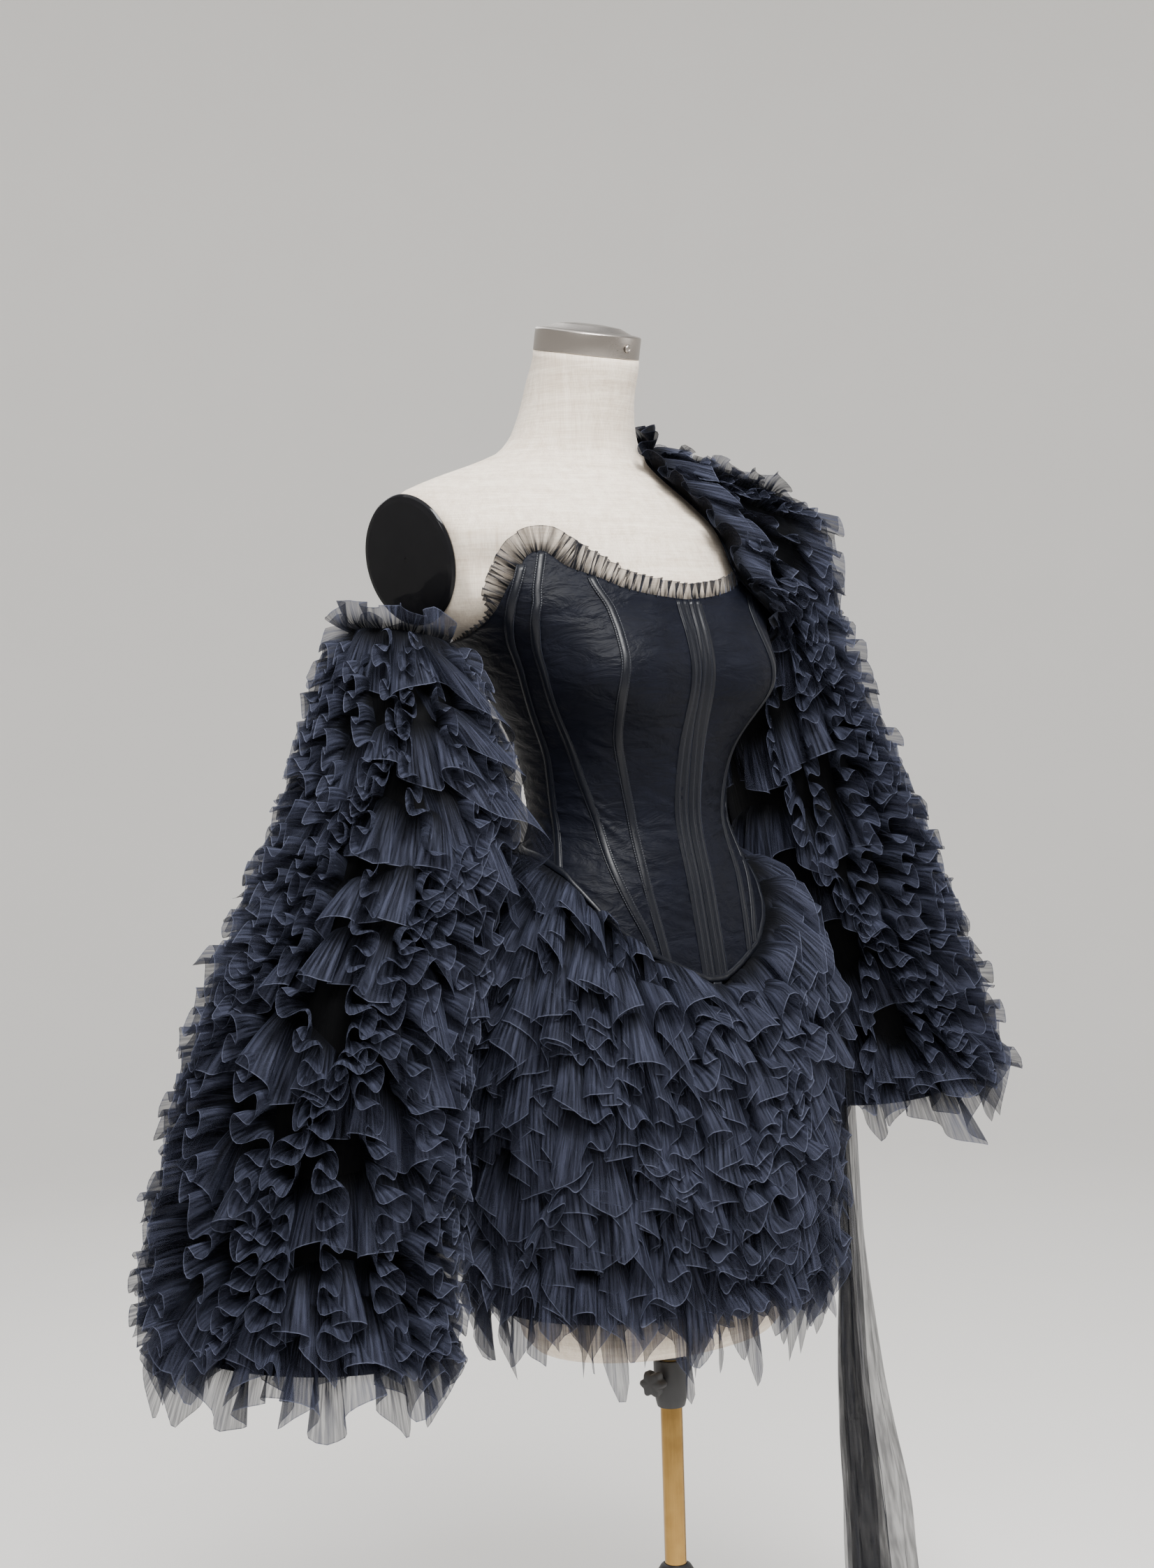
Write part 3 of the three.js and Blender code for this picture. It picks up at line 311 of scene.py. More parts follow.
def through(table, column, at):
    """A table's column at places between its rows, on a smooth curve that never overshoots: a cubic between two
    rows, with the harmonic mean of the rises beside each row as its slope there, and level at both ends."""
    x, y = table[:, 0], table[:, column]
    rise = np.diff(y) / np.diff(x)
    before, after, slope = rise[:-1], rise[1:], np.zeros(len(x))
    same = before * after > 0
    slope[1:-1][same] = 2 * before[same] * after[same] / (before[same] + after[same])
    at = np.clip(at, x[0], x[-1])
    i = np.clip(np.searchsorted(x, at, side="right") - 1, 0, len(x) - 2)
    span = x[i + 1] - x[i]
    t = (at - x[i]) / span
    up = 3 * t**2 - 2 * t**3
    bent = (t - 2 * t**2 + t**3) * slope[i] + (t**3 - t**2) * slope[i + 1]
    return (1 - up) * y[i] + up * y[i + 1] + span * bent


def smooth(value):
    """From 0 to 1 as value goes from 0 to 1, level at both ends."""
    t = np.clip(value, 0, 1)
    return t * t * (3 - 2 * t)


def turn_from_front(angle):
    """How far an angle is from the front, in degrees from 0 to 180."""
    return np.degrees(np.abs(np.arctan2(np.sin(angle), np.cos(angle))))


def form_radius(angle, z):
    """The form's skin from its section's middle: a superellipse with its own front and back, and the two cups
    as bells added round 38 degrees to each side. Angle 0 is the front and a positive one is to its left."""
    ahead = np.cos(angle) > 0
    depth = np.where(ahead, through(FORM_ROWS, 3, z), through(FORM_ROWS, 4, z))
    power = np.where(ahead, through(FORM_ROWS, 5, z), through(FORM_ROWS, 6, z))
    side = np.abs(np.sin(angle)) / through(FORM_ROWS, 2, z)
    plain = (side**power + (np.abs(np.cos(angle)) / depth) ** power) ** (-1 / power)
    tall = np.where(z > 1280, 66, 50)
    turn = (turn_from_front(angle) - 38) / 30
    return plain + 38 * np.exp(-(turn**2) - ((z - 1280) / tall) ** 2)


def form_point(angle, z, off=0.0):
    """A point of the form's skin, moved off it along the level normal."""
    angle, z, off = np.broadcast_arrays(np.asarray(angle, float), np.asarray(z, float), np.asarray(off, float))
    around = lambda a: (form_radius(a, z) * np.sin(a), -form_radius(a, z) * np.cos(a))
    (x, y), (x0, y0), (x1, y1) = around(angle), around(angle - 0.02), around(angle + 0.02)
    length = np.hypot(x1 - x0, y1 - y0)
    return np.stack([x + off * (y1 - y0) / length, y + through(FORM_ROWS, 1, z) - off * (x1 - x0) / length, z], -1)


def plate_frame(side):
    """The arm plate's centre, its outward direction and its forward and upward directions."""
    turn, tilt = math.radians(-side * 12), math.radians(side * 11)
    matrix = Matrix.Rotation(turn, 3, "Z") @ Matrix.Rotation(tilt, 3, "Y")
    return np.array([side * 203, 119, 1407.0]), np.array(matrix) @ np.diag([side, 1, 1])


# Weave: two crossed sets of threads, each uneven along its run, as a height and as a tone of the yarn.
HEIGHT_AND_TONE = {"Height": "NodeSocketFloat", "Tone": "NodeSocketFloat"}
weave, inside, out = group("weave", HEIGHT_AND_TONE, {"Vector": (0, 0, 0), "Threads": 1500.0, "Slub": 0.12})
slubs = sums(weave, "MULTIPLY", inside.outputs["Threads"], inside.outputs["Slub"])
total = None
for ratio in ((1.0, 1.0, 0.045), (0.045, 0.045, 1.0)):
    drawn = node(weave, "ShaderNodeVectorMath", {0: inside.outputs["Vector"], 1: ratio}, operation="MULTIPLY")
    fine = noise(weave, drawn.outputs[0], inside.outputs["Threads"], 1.0)
    broad = noise(weave, drawn.outputs[0], slubs, 2.0)
    both = sums(weave, "MULTIPLY_ADD", broad, 0.5, sums(weave, "MULTIPLY", fine, 0.5))
    total = sums(weave, "MULTIPLY_ADD", both, 0.5, sums(weave, "MULTIPLY", total, 0.5)) if total is not None else both
weave.links.new(total, out.inputs["Height"])
weave.links.new(sums(weave, "MULTIPLY_ADD", total, 4.0, -1.5, clamp=True), out.inputs["Tone"])

linen, tree, shader = finish("slub linen", Sheen_Weight=0.15, Sheen_Roughness=0.6, Specular_IOR_Level=0.25)
height, tone = use(tree, weave, Vector=place_of(tree), Threads=900.0, Slub=0.16).outputs
feed(tree, shader, Base_Color=between(tree, tone, (0.56, 0.46, 0.36), (0.82, 0.73, 0.61)))
feed(tree, shader, Roughness=sums(tree, "MULTIPLY_ADD", tone, -0.12, 0.92), Normal=relief(tree, height, 0.55, 0.0008))


def form_shell(rows=150, columns=132):
    """The skin at every height and angle, pressed in under the corset, its neck cut tilted forward, and every
    point past an arm plate moved back onto the plate's plane. The ends are closed by rings drawn to a point."""
    z = np.concatenate([[622], np.linspace(622, 1617, rows), [1617]])[:, None]
    angle = (np.arange(columns)[None, :] + 0.5) * 2 * np.pi / columns
    underarm = np.exp(-(((turn_from_front(angle) - 62) / 14) ** 2)) * smooth((z - 1280) / 40)
    skin = form_point(angle, z, -5 * (1 + 2.3 * underarm) * (1 - smooth((z - 1390) / 45)))
    skin[..., 2] += (skin[..., 1] - through(FORM_ROWS, 1, z)) * np.tan(np.radians(12)) * smooth((z - 1520) / 97)
    for end in (0, -1):
        inner = skin[end].mean(0)
        skin[end] = inner + (skin[end] - inner) * 0.97
    for side in (-1, 1):
        centre, axes = plate_frame(side)
        past = np.maximum((skin - centre) @ axes[:, 0], 0) * smooth((z - 1290) / 40)
        skin = skin - past[..., None] * axes[:, 0]
    points = np.concatenate([skin.reshape(-1, 3), [skin[0].mean(0), skin[-1].mean(0)]])
    return points, grid_faces(len(skin), columns, round_it=True), end_fans(columns, len(skin))


made = piece("linen_form", *form_shell(), finish=linen)
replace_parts(made, "form_torso"), made, made

# Arm plates of gloss black plastic, oval and slightly domed, each held by one countersunk screw.
gloss = {"smooth": 0.05, "rough": 0.14, "size": 40.0, "Specular_IOR_Level": 0.12}
plate_gloss = worn_finish("gloss black", (0.004, 0.004, 0.005), (0.009, 0.009, 0.01), **gloss)
# share of the plate's half width, and millimetres out of it
PLATE = [(0, 0), (1, 0), (1.02, 2.5), (0.985, 5.6), (0.90, 7.1), (0.5, 7.7), (0.055, 7.8), (0.05, 7.2), (0, 7.2)]
PLATE_WIDE, PLATE_TALL = 56, 64
for side, name in ((-1, "right"), (1, "left")):
    points, quads, fans = turned(rounded(PLATE, 0.012), 128)
    centre, axes = plate_frame(side)
    points = np.stack([points[:, 2] + GAP, points[:, 0] * PLATE_WIDE, points[:, 1] * PLATE_TALL], -1)
    points = centre + points @ axes.T
    made = piece("gloss_plate_" + name, points, quads, fans, finish=plate_gloss)
    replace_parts(made, "arm_plate_" + name), made

# The neck cap of spun steel, brushed round its axis, with one countersunk side screw.
NECK, NECK_TILT = np.array([0, 84, 1617.0]), math.radians(12)
steel, tree, shader = finish("spun steel", Metallic=1.0, Anisotropic=0.55)
seat = {"Vector": place_of(tree), "Location": tuple(NECK * -0.001), "Rotation": (-NECK_TILT, 0, 0)}
seat = node(tree, "ShaderNodeMapping", seat, vector_type="POINT")
x, y, z = node(tree, "ShaderNodeSeparateXYZ", {0: seat.outputs[0]}).outputs
across = sums(tree, "SQRT", sums(tree, "MULTIPLY_ADD", x, x, sums(tree, "MULTIPLY", y, y)))
lines = node(tree, "ShaderNodeCombineXYZ", {0: across, 1: z, 2: 0.0})
brushed = noise(tree, lines.outputs[0], 2600.0, 3.0)
feed(tree, shader, Base_Color=between(tree, brushed, (0.17, 0.15, 0.135), (0.50, 0.46, 0.42)))
feed(tree, shader, Roughness=sums(tree, "MULTIPLY_ADD", brushed, 0.22, 0.2), Normal=relief(tree, brushed, 0.12, 0.0003))


def on_neck(points):
    """Moves a turned part from the origin to the neck's cut, tilted 12 degrees forward."""
    return points @ np.array(Matrix.Rotation(NECK_TILT, 3, "X")).T + NECK


cap = [(0, 0.3), (54.5, 0.3), (54.5, 22), (53, 23.4), (46.5, 24.6), (45.5, 24.2), (32, 30), (15, 31.6), (0, 32)]
points, quads, fans = turned(rounded(cap, 0.8), 160)
made = piece("steel_cap", on_neck(points), quads, fans, finish=steel)
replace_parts(made, "neck_cap"), made
screw = [(0, 0), (4.2, 0), (4.2, 1.6), (3.2, 2.6), (1.6, 2.6), (1.4, 1.8), (0, 1.8)]
points, quads, fans = turned(rounded(screw, 0.3), 48)
points = np.stack([points[:, 0], -points[:, 2] - 54.8, points[:, 1] + 11], -1)
twist = np.array(Matrix.Rotation(math.radians(8), 3, "Z"))
made = piece("cap_screw", on_neck(points @ twist.T), quads, fans, finish=steel)
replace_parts(made, "neck_cap_screw"), made

# ---------------------------------------------------------------------------------------------------
# The corset. Eight panels of black satin over a firm lining, pulled tight so that drag creases run from the
# seams at the waist and under the bust. Its upper edge dips in front and rises to a corner over each cup.
# ---------------------------------------------------------------------------------------------------
SEAMS = {
    # height, degrees from the front
    "front": np.array([[900, 0], [1500, 0]], float),
    "cup": np.array(
        [[980, 26], [1022, 29], [1090, 35], [1143, 39], [1212, 42.5], [1258, 38.5], [1311, 33.3], [1349, 32],
         [1383, 35], [1420, 36]]),
    "waist": np.array(
        [[1000, 33], [1027, 35.5], [1069, 44], [1136, 57], [1213, 66], [1298, 62], [1365, 52], [1420, 49]]),
    "side": np.array([[1080, 73], [1100, 76], [1160, 84], [1237, 79.6], [1314, 70], [1370, 57], [1420, 54]]),
    "back": np.array([[900, 179.9], [1500, 179.9]]),
}  # fmt: skip
# Heights of the corset's edges at degrees from the front, and how far its lining and its satin stand off the form.
LOWER_EDGE = np.array(
    [[0, 985], [5.5, 985.5], [9, 988], [16, 994], [25, 1003], [35, 1014], [45, 1032], [53, 1048], [60, 1066],
     [67, 1082], [74, 1095], [94, 1110], [130, 1116], [180, 1118]]
)  # fmt: skip
UPPER_EDGE = np.array(
    [[0, 1360], [12, 1363], [24, 1370], [33, 1382], [42, 1393], [50, 1409], [53, 1405], [58, 1380], [64, 1356],
     [73, 1341], [92, 1328], [130, 1321], [180, 1318]]
)  # fmt: skip
LINING, SATIN = 3.4, 5.4


def panel_place(before, after, across, up):
    """Angle and height at a share across a panel and a share up it. The seams' angles depend on the height and
    the edges' heights on the angle, so the two are worked out in turn until they settle."""
    z = np.full(np.broadcast(across, up).shape, 1200.0)
    for _ in range(8):
        low, high = through(SEAMS[before], 1, z) + 0.1, through(SEAMS[after], 1, z) - 0.1
        angle = low + (high - low) * across
        bottom, top = through(LOWER_EDGE, 1, angle), through(UPPER_EDGE, 1, angle)
        z = bottom + (top - bottom) * up
    return np.radians(angle), z


def worn(angle, z, off):
    """A point of what is worn on the form, which stands off it a little more where it swells under the arms."""
    ease = 4.5 * np.exp(-(((turn_from_front(angle) - 62) / 14) ** 2))
    return form_point(angle, z, off + ease * smooth((z - 1300) / 50))


def wander(at, length, seed, parts=5):
    """An even, never repeating wave from about -1 to 1: sines near the given length with chosen random phases."""
    chosen = np.random.default_rng(seed)
    rates, phases = 0.55 + 0.95 * chosen.random(parts), 2 * np.pi * chosen.random(parts)
    at = np.asarray(at, float)[..., None]
    return (np.sin(2 * np.pi * at * rates / length + phases)).sum(-1) * 1.4 / parts


def creases(angle, z, seed):
    """Drag creases: ridges that run across the panel and droop to one side, strongest at the waist and below the
    bust, weaker on the cups, and rounded off where they fade."""
    turn = np.degrees(angle)
    slanted = z + turn * 0.9 + 7 * wander(turn, 40, seed)
    sharp = 1 - np.abs(wander(slanted, 34, seed + 1)) * 1.6
    ridge = np.maximum(sharp, 0) ** 1.6
    # share, height and half height of the bands where they gather: waist, hip and under the bust
    bands = ((1, 1150, 62), (0.75, 1050, 40), (0.4, 1230, 26))
    waist = sum(share * np.exp(-(((z - height) / tall) ** 2)) for share, height, tall in bands)
    patchy = 0.5 + 0.5 * wander(turn * 2.2 + z * 0.6, 60, seed + 2)
    return ridge * waist * patchy


satin, tree, shader = finish("corset satin", Specular_IOR_Level=0.07, Anisotropic=0.3)
place = place_of(tree)
height, tone = use(tree, weave, Vector=place, Threads=2600.0, Slub=0.1).outputs
clouds = noise(tree, place, 28.0, 4.0)
tone = sums(tree, "MULTIPLY_ADD", clouds, 0.7, sums(tree, "MULTIPLY", tone, 0.3))
slack = {"Vector": place, "Rotation": (0.25, 0.3, 0.0), "Scale": (1.0, 1.0, 2.4)}
slack = node(tree, "ShaderNodeMapping", slack).outputs[0]
soft_folds = relief(tree, noise(tree, slack, 24.0, 4.0, Roughness=0.55, Distortion=0.5), 0.75, 0.006)
feed(tree, shader, Base_Color=between(tree, tone, (0.0020, 0.0022, 0.0036), (0.0075, 0.0086, 0.0145)))
feed(tree, shader, Roughness=sums(tree, "MULTIPLY_ADD", clouds, 0.2, 0.4))
feed(tree, shader, Normal=relief(tree, height, 0.25, 0.0003, Normal=soft_folds))


def walled(outer, inner, round_it=False):
    """Points and quads of a closed wall from its outside and inside grids; the rims are joined by more quads."""
    rows, columns = outer.shape[:2]
    front = grid_faces(rows, columns, round_it)
    back = grid_faces(rows, columns, round_it)[:, ::-1] + rows * columns
    top, through_wall = np.arange(columns if round_it else columns - 1), rows * columns
    after, last = (top + 1) % columns, (rows - 1) * columns
    first_rim = np.stack([top, after, after + through_wall, top + through_wall], -1)
    rims = [first_rim[:, ::-1], first_rim + last]
    if not round_it:
        side = np.arange(rows - 1) * columns
        for edge, turn in ((0, 1), (columns - 1, -1)):
            a = side + edge
            rims.append(np.stack([a, a + columns, a + columns + through_wall, a + through_wall], -1)[:, ::turn])
    points = np.concatenate([outer.reshape(-1, 3), inner.reshape(-1, 3)])
    return points, np.concatenate([front, back, *rims])


def spread(points):
    """The area of a grid of points in square metres, and the mean length of its rows and columns in metres."""
    a, b, c, d = points[:-1, :-1], points[:-1, 1:], points[1:, 1:], points[1:, :-1]
    halves = np.cross(b - a, c - a), np.cross(c - a, d - a)
    area = sum(np.linalg.norm(half, axis=-1) for half in halves).sum() / 2e6
    along = np.linalg.norm(np.diff(points, axis=1), axis=-1).sum(1).mean() / 1e3
    return area, along


PANELS = [
    # name, the seams on its two sides, columns of points
    ("centre_front", "front", "cup", 30), ("side_front", "cup", "waist", 22),
    ("side", "waist", "side", 20), ("back", "side", "back", 48),
]  # fmt: skip
CREASE = 2.6
for side, hand in ((-1, "right"), (1, "left")):
    for number, (name, before, after, columns) in enumerate(PANELS):
        across, up = np.linspace(0, 1, columns)[None, :], np.linspace(0, 1, 120)[:, None]
        angle, z = panel_place(before, after, across, up)
        fold = CREASE * creases(angle * side, z, 40 + number * 7 + side)
        seam = 1 - np.exp(-(across / 0.05) ** 2) - np.exp(-((1 - across) / 0.05) ** 2)
        edge = smooth(up / 0.04) * smooth((1 - up) / 0.03)
        outer = worn(side * angle, z, SATIN + (fold * np.clip(seam, 0, 1) - 0.3) * edge)
        inner = worn(side * angle, z, np.full_like(z, LINING))
        made = piece(f"satin_{name}_{hand}", *walled(outer, inner), finish=satin)
        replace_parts(made, f"corset_{name}_{hand}"), made

# Bone channels of satin ribbon, 9 mm wide, stitched down both edges over the seams, with a flat bone inside.
# Two wider ones with a pair of bones each lie side by side at the centre front. The lower edge is bound with a
# satin roll, which is turned into a small loop under the point.
ribbon, tree, shader = finish("satin ribbon", Specular_IOR_Level=0.2, Sheen_Weight=0.05, Sheen_Roughness=0.3)
shader.inputs["Sheen Tint"].default_value = (0.5, 0.55, 0.75, 1)
BESIDE, ROW, STITCH = 0.0036, 0.0005, 0.0026  # metres: a row's place, its half width and its stitches' length
across, along, _ = node(tree, "ShaderNodeSeparateXYZ", {0: cloth_run(tree)}).outputs
height, tone = use(tree, weave, Vector=place_of(tree), Threads=3000.0, Slub=0.1).outputs
stitch = sums(tree, "SINE", sums(tree, "MULTIPLY", along, 2 * math.pi / STITCH))
row = sums(tree, "ABSOLUTE", sums(tree, "SUBTRACT", sums(tree, "ABSOLUTE", across), BESIDE))
on_row = sums(tree, "SUBTRACT", 1.0, sums(tree, "DIVIDE", row, ROW), clamp=True)
stitched = sums(tree, "MULTIPLY", on_row, sums(tree, "MULTIPLY_ADD", stitch, 0.5, 0.5))
high = sums(tree, "MULTIPLY_ADD", height, 0.15, sums(tree, "MULTIPLY", stitched, 0.6))
pulled = sums(tree, "SUBTRACT", high, sums(tree, "MULTIPLY", on_row, 0.5))
feed(tree, shader, Base_Color=between(tree, stitched, (0.004, 0.0047, 0.0075), (0.02, 0.022, 0.03)))
feed(tree, shader, Roughness=sums(tree, "MULTIPLY_ADD", tone, 0.2, 0.26), Normal=relief(tree, pulled, 0.6, 0.0006))
CHANNELS = [
    # seam, how far beside it, half width, bones
    ("front", 8.3, 8.0, 2), ("cup", 0, 4.5, 1), ("waist", 0, 4.5, 1), ("side", 0, 4.5, 1),
]  # fmt: skip


def channel(side, seam, shift, half, bones, rows=100, columns=17):
    """A strip along a seam: at each share up the corset, points across it at equal distances from the seam's
    middle, lifted by a low arch over each bone and pulled down along the rows of stitches beside it."""
    up = np.linspace(0.006, 0.996, rows)[:, None]
    angle, z = panel_place(seam, "back", np.zeros_like(up), up)
    across = np.linspace(-half, half, columns)[None, :]
    radius = form_radius(angle, z)
    beside = side * angle + (across + shift) / radius
    ease = 4 * smooth((angle - 0.9) / 0.05) * smooth((z - 1280) / 60)
    share = np.abs(2 * (((across / half + 1) / 2 * bones) % 1) - 1) if bones > 1 else np.abs(across) / half
    arch = 1.3 * np.sqrt(np.clip(1 - (share / 0.74) ** 2, 0, 1)) + 0.5 * (share > 0.84) * (1 - share) / 0.16
    outer = worn(beside, z, SATIN + 0.9 + arch + ease)
    inner = worn(beside, z, SATIN - 0.6 + ease)
    length = np.cumsum(np.concatenate([[0], np.linalg.norm(np.diff(outer[:, columns // 2], axis=0), axis=-1)]))
    uv = together(across, length[:, None]) * 0.001
    return outer, inner, np.concatenate([uv.reshape(-1, 2)] * 2)


for side, hand in ((-1, "right"), (1, "left")):
    for seam, shift, half, bones in CHANNELS:
        outer, inner, uv = channel(side, seam, side * shift, half, bones)
        made = piece(f"bone_channel_{seam}_{hand}", *walled(outer, inner), uv=uv, finish=ribbon)
        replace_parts(made, f"casing_{seam}_{hand}"), made


BINDING = (360, 12)  # points along the roll and round it


def rolled_binding():
    """A roll, flattened against the corset, carried once round its lower edge."""
    angle = np.linspace(-np.pi, np.pi, BINDING[0], endpoint=False)[:, None]
    z = through(LOWER_EDGE, 1, turn_from_front(angle))
    turn = np.linspace(0, 2 * np.pi, BINDING[1], endpoint=False)[None, :]
    off = SATIN + 0.9 + 2.0 * np.cos(turn) + 0.25 * wander(np.degrees(angle), 9, 5)
    return worn(angle, z + 3.2 + 3.6 * np.sin(turn), off), together(0.02 + turn * 0, np.degrees(angle) * 0.003)


points, uv = rolled_binding()
quads = grid_faces(*BINDING, round_it=True, wrap_rows=True)
made = piece("rolled_binding", points, quads, uv=uv, finish=ribbon)
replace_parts(made, "corset_lower_binding"), made

POINT, LOOP_WIDE, LOOP_DEEP, LOOP_TALL, LOOP_THICK = 985.0, 5.5, 4, 15, 0.9
turn, v = np.linspace(0, 2 * np.pi, 60, endpoint=False)[None, :], np.linspace(-1, 1, 9)[:, None]
loop = together(
    LOOP_WIDE * v + 1.5 * np.sin(2 * turn), LOOP_DEEP * np.cos(turn) - 3,
    LOOP_TALL * np.sin(turn) + 1.2 * v * np.cos(turn),
)  # fmt: skip
outer = worn(np.zeros(1), np.array([POINT]), np.array([3.5]))[0] + np.array([0, 0, 0.5 - LOOP_TALL]) + loop
inner = outer - LOOP_THICK * together(0 * v, np.cos(turn), np.sin(turn))
uv = np.concatenate([together(v * LOOP_WIDE * 0.001, turn * 0.01).reshape(-1, 2)] * 2)
points, quads = walled(outer, inner, round_it=True)
made = piece("point_loop", points, quads, uv=uv, finish=ribbon)

# ---------------------------------------------------------------------------------------------------
# Tulle. Cut edges, fine gathers that run from the stitches to the free edge, and a hexagon net too fine to
# see, so that one layer hides a little over half of what is behind it. Black tulle shows blue in the light.
# ---------------------------------------------------------------------------------------------------
GATHERS = {socket: "NodeSocketFloat" for socket in ("Tone", "Cover", "Height", "Edge")}
gathers, inside, out = group("gathers", GATHERS, {"Run": (0, 0, 0), "Fine": 260.0, "Thin": 0.5, "Thick": 0.85})
run, fine, thin, thick = [inside.outputs[socket] for socket in ("Run", "Fine", "Thin", "Thick")]
along, depth, _ = node(gathers, "ShaderNodeSeparateXYZ", {0: run}).outputs
drawn = node(gathers, "ShaderNodeCombineXYZ", {0: along, 1: sums(gathers, "MULTIPLY", depth, 0.07), 2: 0.0})
pleats = noise(gathers, drawn.outputs[0], fine, 2.5, Roughness=0.6)
lined = sums(gathers, "MULTIPLY_ADD", pleats, 3.4, -1.2, clamp=True)
toned = sums(gathers, "MULTIPLY_ADD", lined, 0.85, -0.25)
toned = sums(gathers, "MULTIPLY_ADD", noise(gathers, run, 1100.0, 1.0), 0.5, toned, clamp=True)
edge = sums(gathers, "DIVIDE", sums(gathers, "ABSOLUTE", depth), 0.0013)
edge = sums(gathers, "SUBTRACT", 1.0, edge, clamp=True)
cover = sums(gathers, "MULTIPLY_ADD", lined, sums(gathers, "SUBTRACT", thick, thin), thin)
cover = sums(gathers, "MULTIPLY_ADD", edge, 0.25, cover, clamp=True)
for socket, source in zip(GATHERS, (toned, cover, pleats, edge)):
    gathers.links.new(source, out.inputs[socket])


def sheer(name, dark, light, rim, thin, thick, fine=260.0, bump=0.5, sheen=0.25):
    """A sheer cloth finish: the gathers give its tone, cover and relief, and its cut edge is lighter, partly from the
    edge's own tone and partly as a painted highlight. Where the piece's depth mark is low, near the stitches, the folds
    lie so close that the cloth is denser, and its colour is darkened there as painted shade between the close folds."""
    made, tree, shader = finish(name, Roughness=0.75, Specular_IOR_Level=0.07, Sheen_Weight=sheen, Sheen_Roughness=0.4)
    shader.inputs["Sheen Tint"].default_value = (0.5, 0.56, 0.85, 1)
    gathered = use(tree, gathers, Run=cloth_run(tree), Fine=fine, Thin=thin, Thick=thick)
    drawn, cover, height, edge = gathered.outputs
    tone = sums(tree, "MULTIPLY_ADD", drawn, 0.8, -0.15)
    tone = sums(tree, "MULTIPLY_ADD", noise(tree, place_of(tree), 22.0, 2.0), 0.5, tone, clamp=True)
    depth = node(tree, "ShaderNodeAttribute", attribute_name="depth").outputs["Fac"]
    depth = {"Value": depth, "From Min": 0.05, "From Max": 0.8}
    open_part = node(tree, "ShaderNodeMapRange", depth, interpolation_type="SMOOTHSTEP").outputs[0]
    # Painted shade: near the stitches, where the folds lie close, the colour is darkened to 0.22 of the dark tone; the
    # extra cover below is the denser cloth.
    cloth = between(tree, open_part, tuple(0.22 * c for c in dark), between(tree, tone, dark, light))
    packed = sums(tree, "MULTIPLY", sums(tree, "SUBTRACT", 1.0, open_part), 0.3)
    # The cut edge's lighter colour is partly the edge's own tone and partly a painted highlight.
    feed(tree, shader, Base_Color=between(tree, edge, cloth, rim), Normal=relief(tree, height, bump, 0.0012))
    feed(tree, shader, Alpha=sums(tree, "ADD", cover, packed, clamp=True))
    return made


# dark and light colours, the cut edge's colour (partly its own tone, partly a painted highlight), least and greatest
# cover
BLACK_TULLE = (0.0018, 0.0022, 0.0042), (0.046, 0.051, 0.080), (0.066, 0.072, 0.104), 0.52, 0.84
LINING_TULLE = (0.002, 0.0024, 0.004), (0.005, 0.006, 0.010), (0.03, 0.033, 0.05), 0.8, 0.95
PLEATED_NET = (0.003, 0.0033, 0.0045), (0.02, 0.021, 0.025), (0.03, 0.03, 0.034), 0.42, 0.86
SASH_TULLE = (0.003, 0.0033, 0.0045), (0.012, 0.0125, 0.016), (0.03, 0.031, 0.04), 0.58, 0.82
tulle = sheer("black tulle", *BLACK_TULLE, sheen=0.08)
lining = sheer("tulle lining", *LINING_TULLE, sheen=0.05)
net = sheer("pleated net", *PLEATED_NET, fine=300.0)
sash_tulle = sheer("sash tulle", *SASH_TULLE, sheen=0.08)


def flounce(
    foot, main, swing, along, *, deep, stand, wave, curl, length, droop, seed, points, rows=8, tips=0.0, rise=0.65
):  # fmt: skip
    """A gathered strip. Each point of its stitched line runs out along main for deep millimetres while it stands
    off along swing by stand x share^rise; a wave of the given height and length grows towards the free edge, and
    its second harmonic moves the edge along the strip, so that deep folds double back. Length is kept: where the
    cloth stands off, it runs out less. The free edge is cut in points, and longer ones where tips are given.
    droop lowers it by the square of the share. Returns points, UVs and the share across."""
    step = np.linalg.norm(np.diff(foot, axis=0), axis=-1)
    s = np.concatenate([[0], np.cumsum(step)])
    pace = 1 + 0.38 * wander(s, length * 5, seed)
    phase = np.concatenate([[0], np.cumsum((pace[:-1] + pace[1:]) / 2 * step)]) * 2 * np.pi / length + seed
    size = wave * (0.78 + 0.3 * wander(s, length * 2.7, seed + 1))
    corner = 1 - np.abs(2 * ((s / (length * 1.25) + 0.35 * wander(s, length * 5, seed + 6)) % 1) - 1)
    tall = deep * (1 + 0.16 * wander(s, length * 1.9, seed + 2))
    tall = tall + (points + tips * (0.7 + 0.3 * wander(s, 90, seed + 7))) * corner**1.5
    lean = stand * (1 + 0.3 * wander(s, length * 3.3, seed + 3))
    v = np.linspace(0, 1, rows)[:, None]
    grown = v**0.8
    out_by = lean * v**rise + size * grown * np.sin(phase)
    slack = 0.55 * out_by**2 + 0.12 * (size * grown) ** 2
    run = np.sqrt(np.maximum((tall * v) ** 2 - slack, (0.45 * tall * v) ** 2))
    side = -curl * grown * np.sin(2 * phase) + 0.25 * curl * grown * wander(s, length * 0.8, seed + 4)
    cloth = foot + main * run[..., None] + swing * out_by[..., None] + along * side[..., None]
    cloth[..., 2] -= droop * v**2
    edge_run = np.concatenate([[0], np.cumsum(np.linalg.norm(np.diff(cloth[-1], axis=0), axis=-1))])
    uv = np.stack([np.broadcast_to(edge_run, run.shape), (1 - v) * tall], -1) * 0.001
    return cloth, uv, np.broadcast_to(v, run.shape)


def unit(vectors):
    """Vectors at length one."""
    return vectors / np.maximum(np.linalg.norm(vectors, axis=-1, keepdims=True), 1e-9)


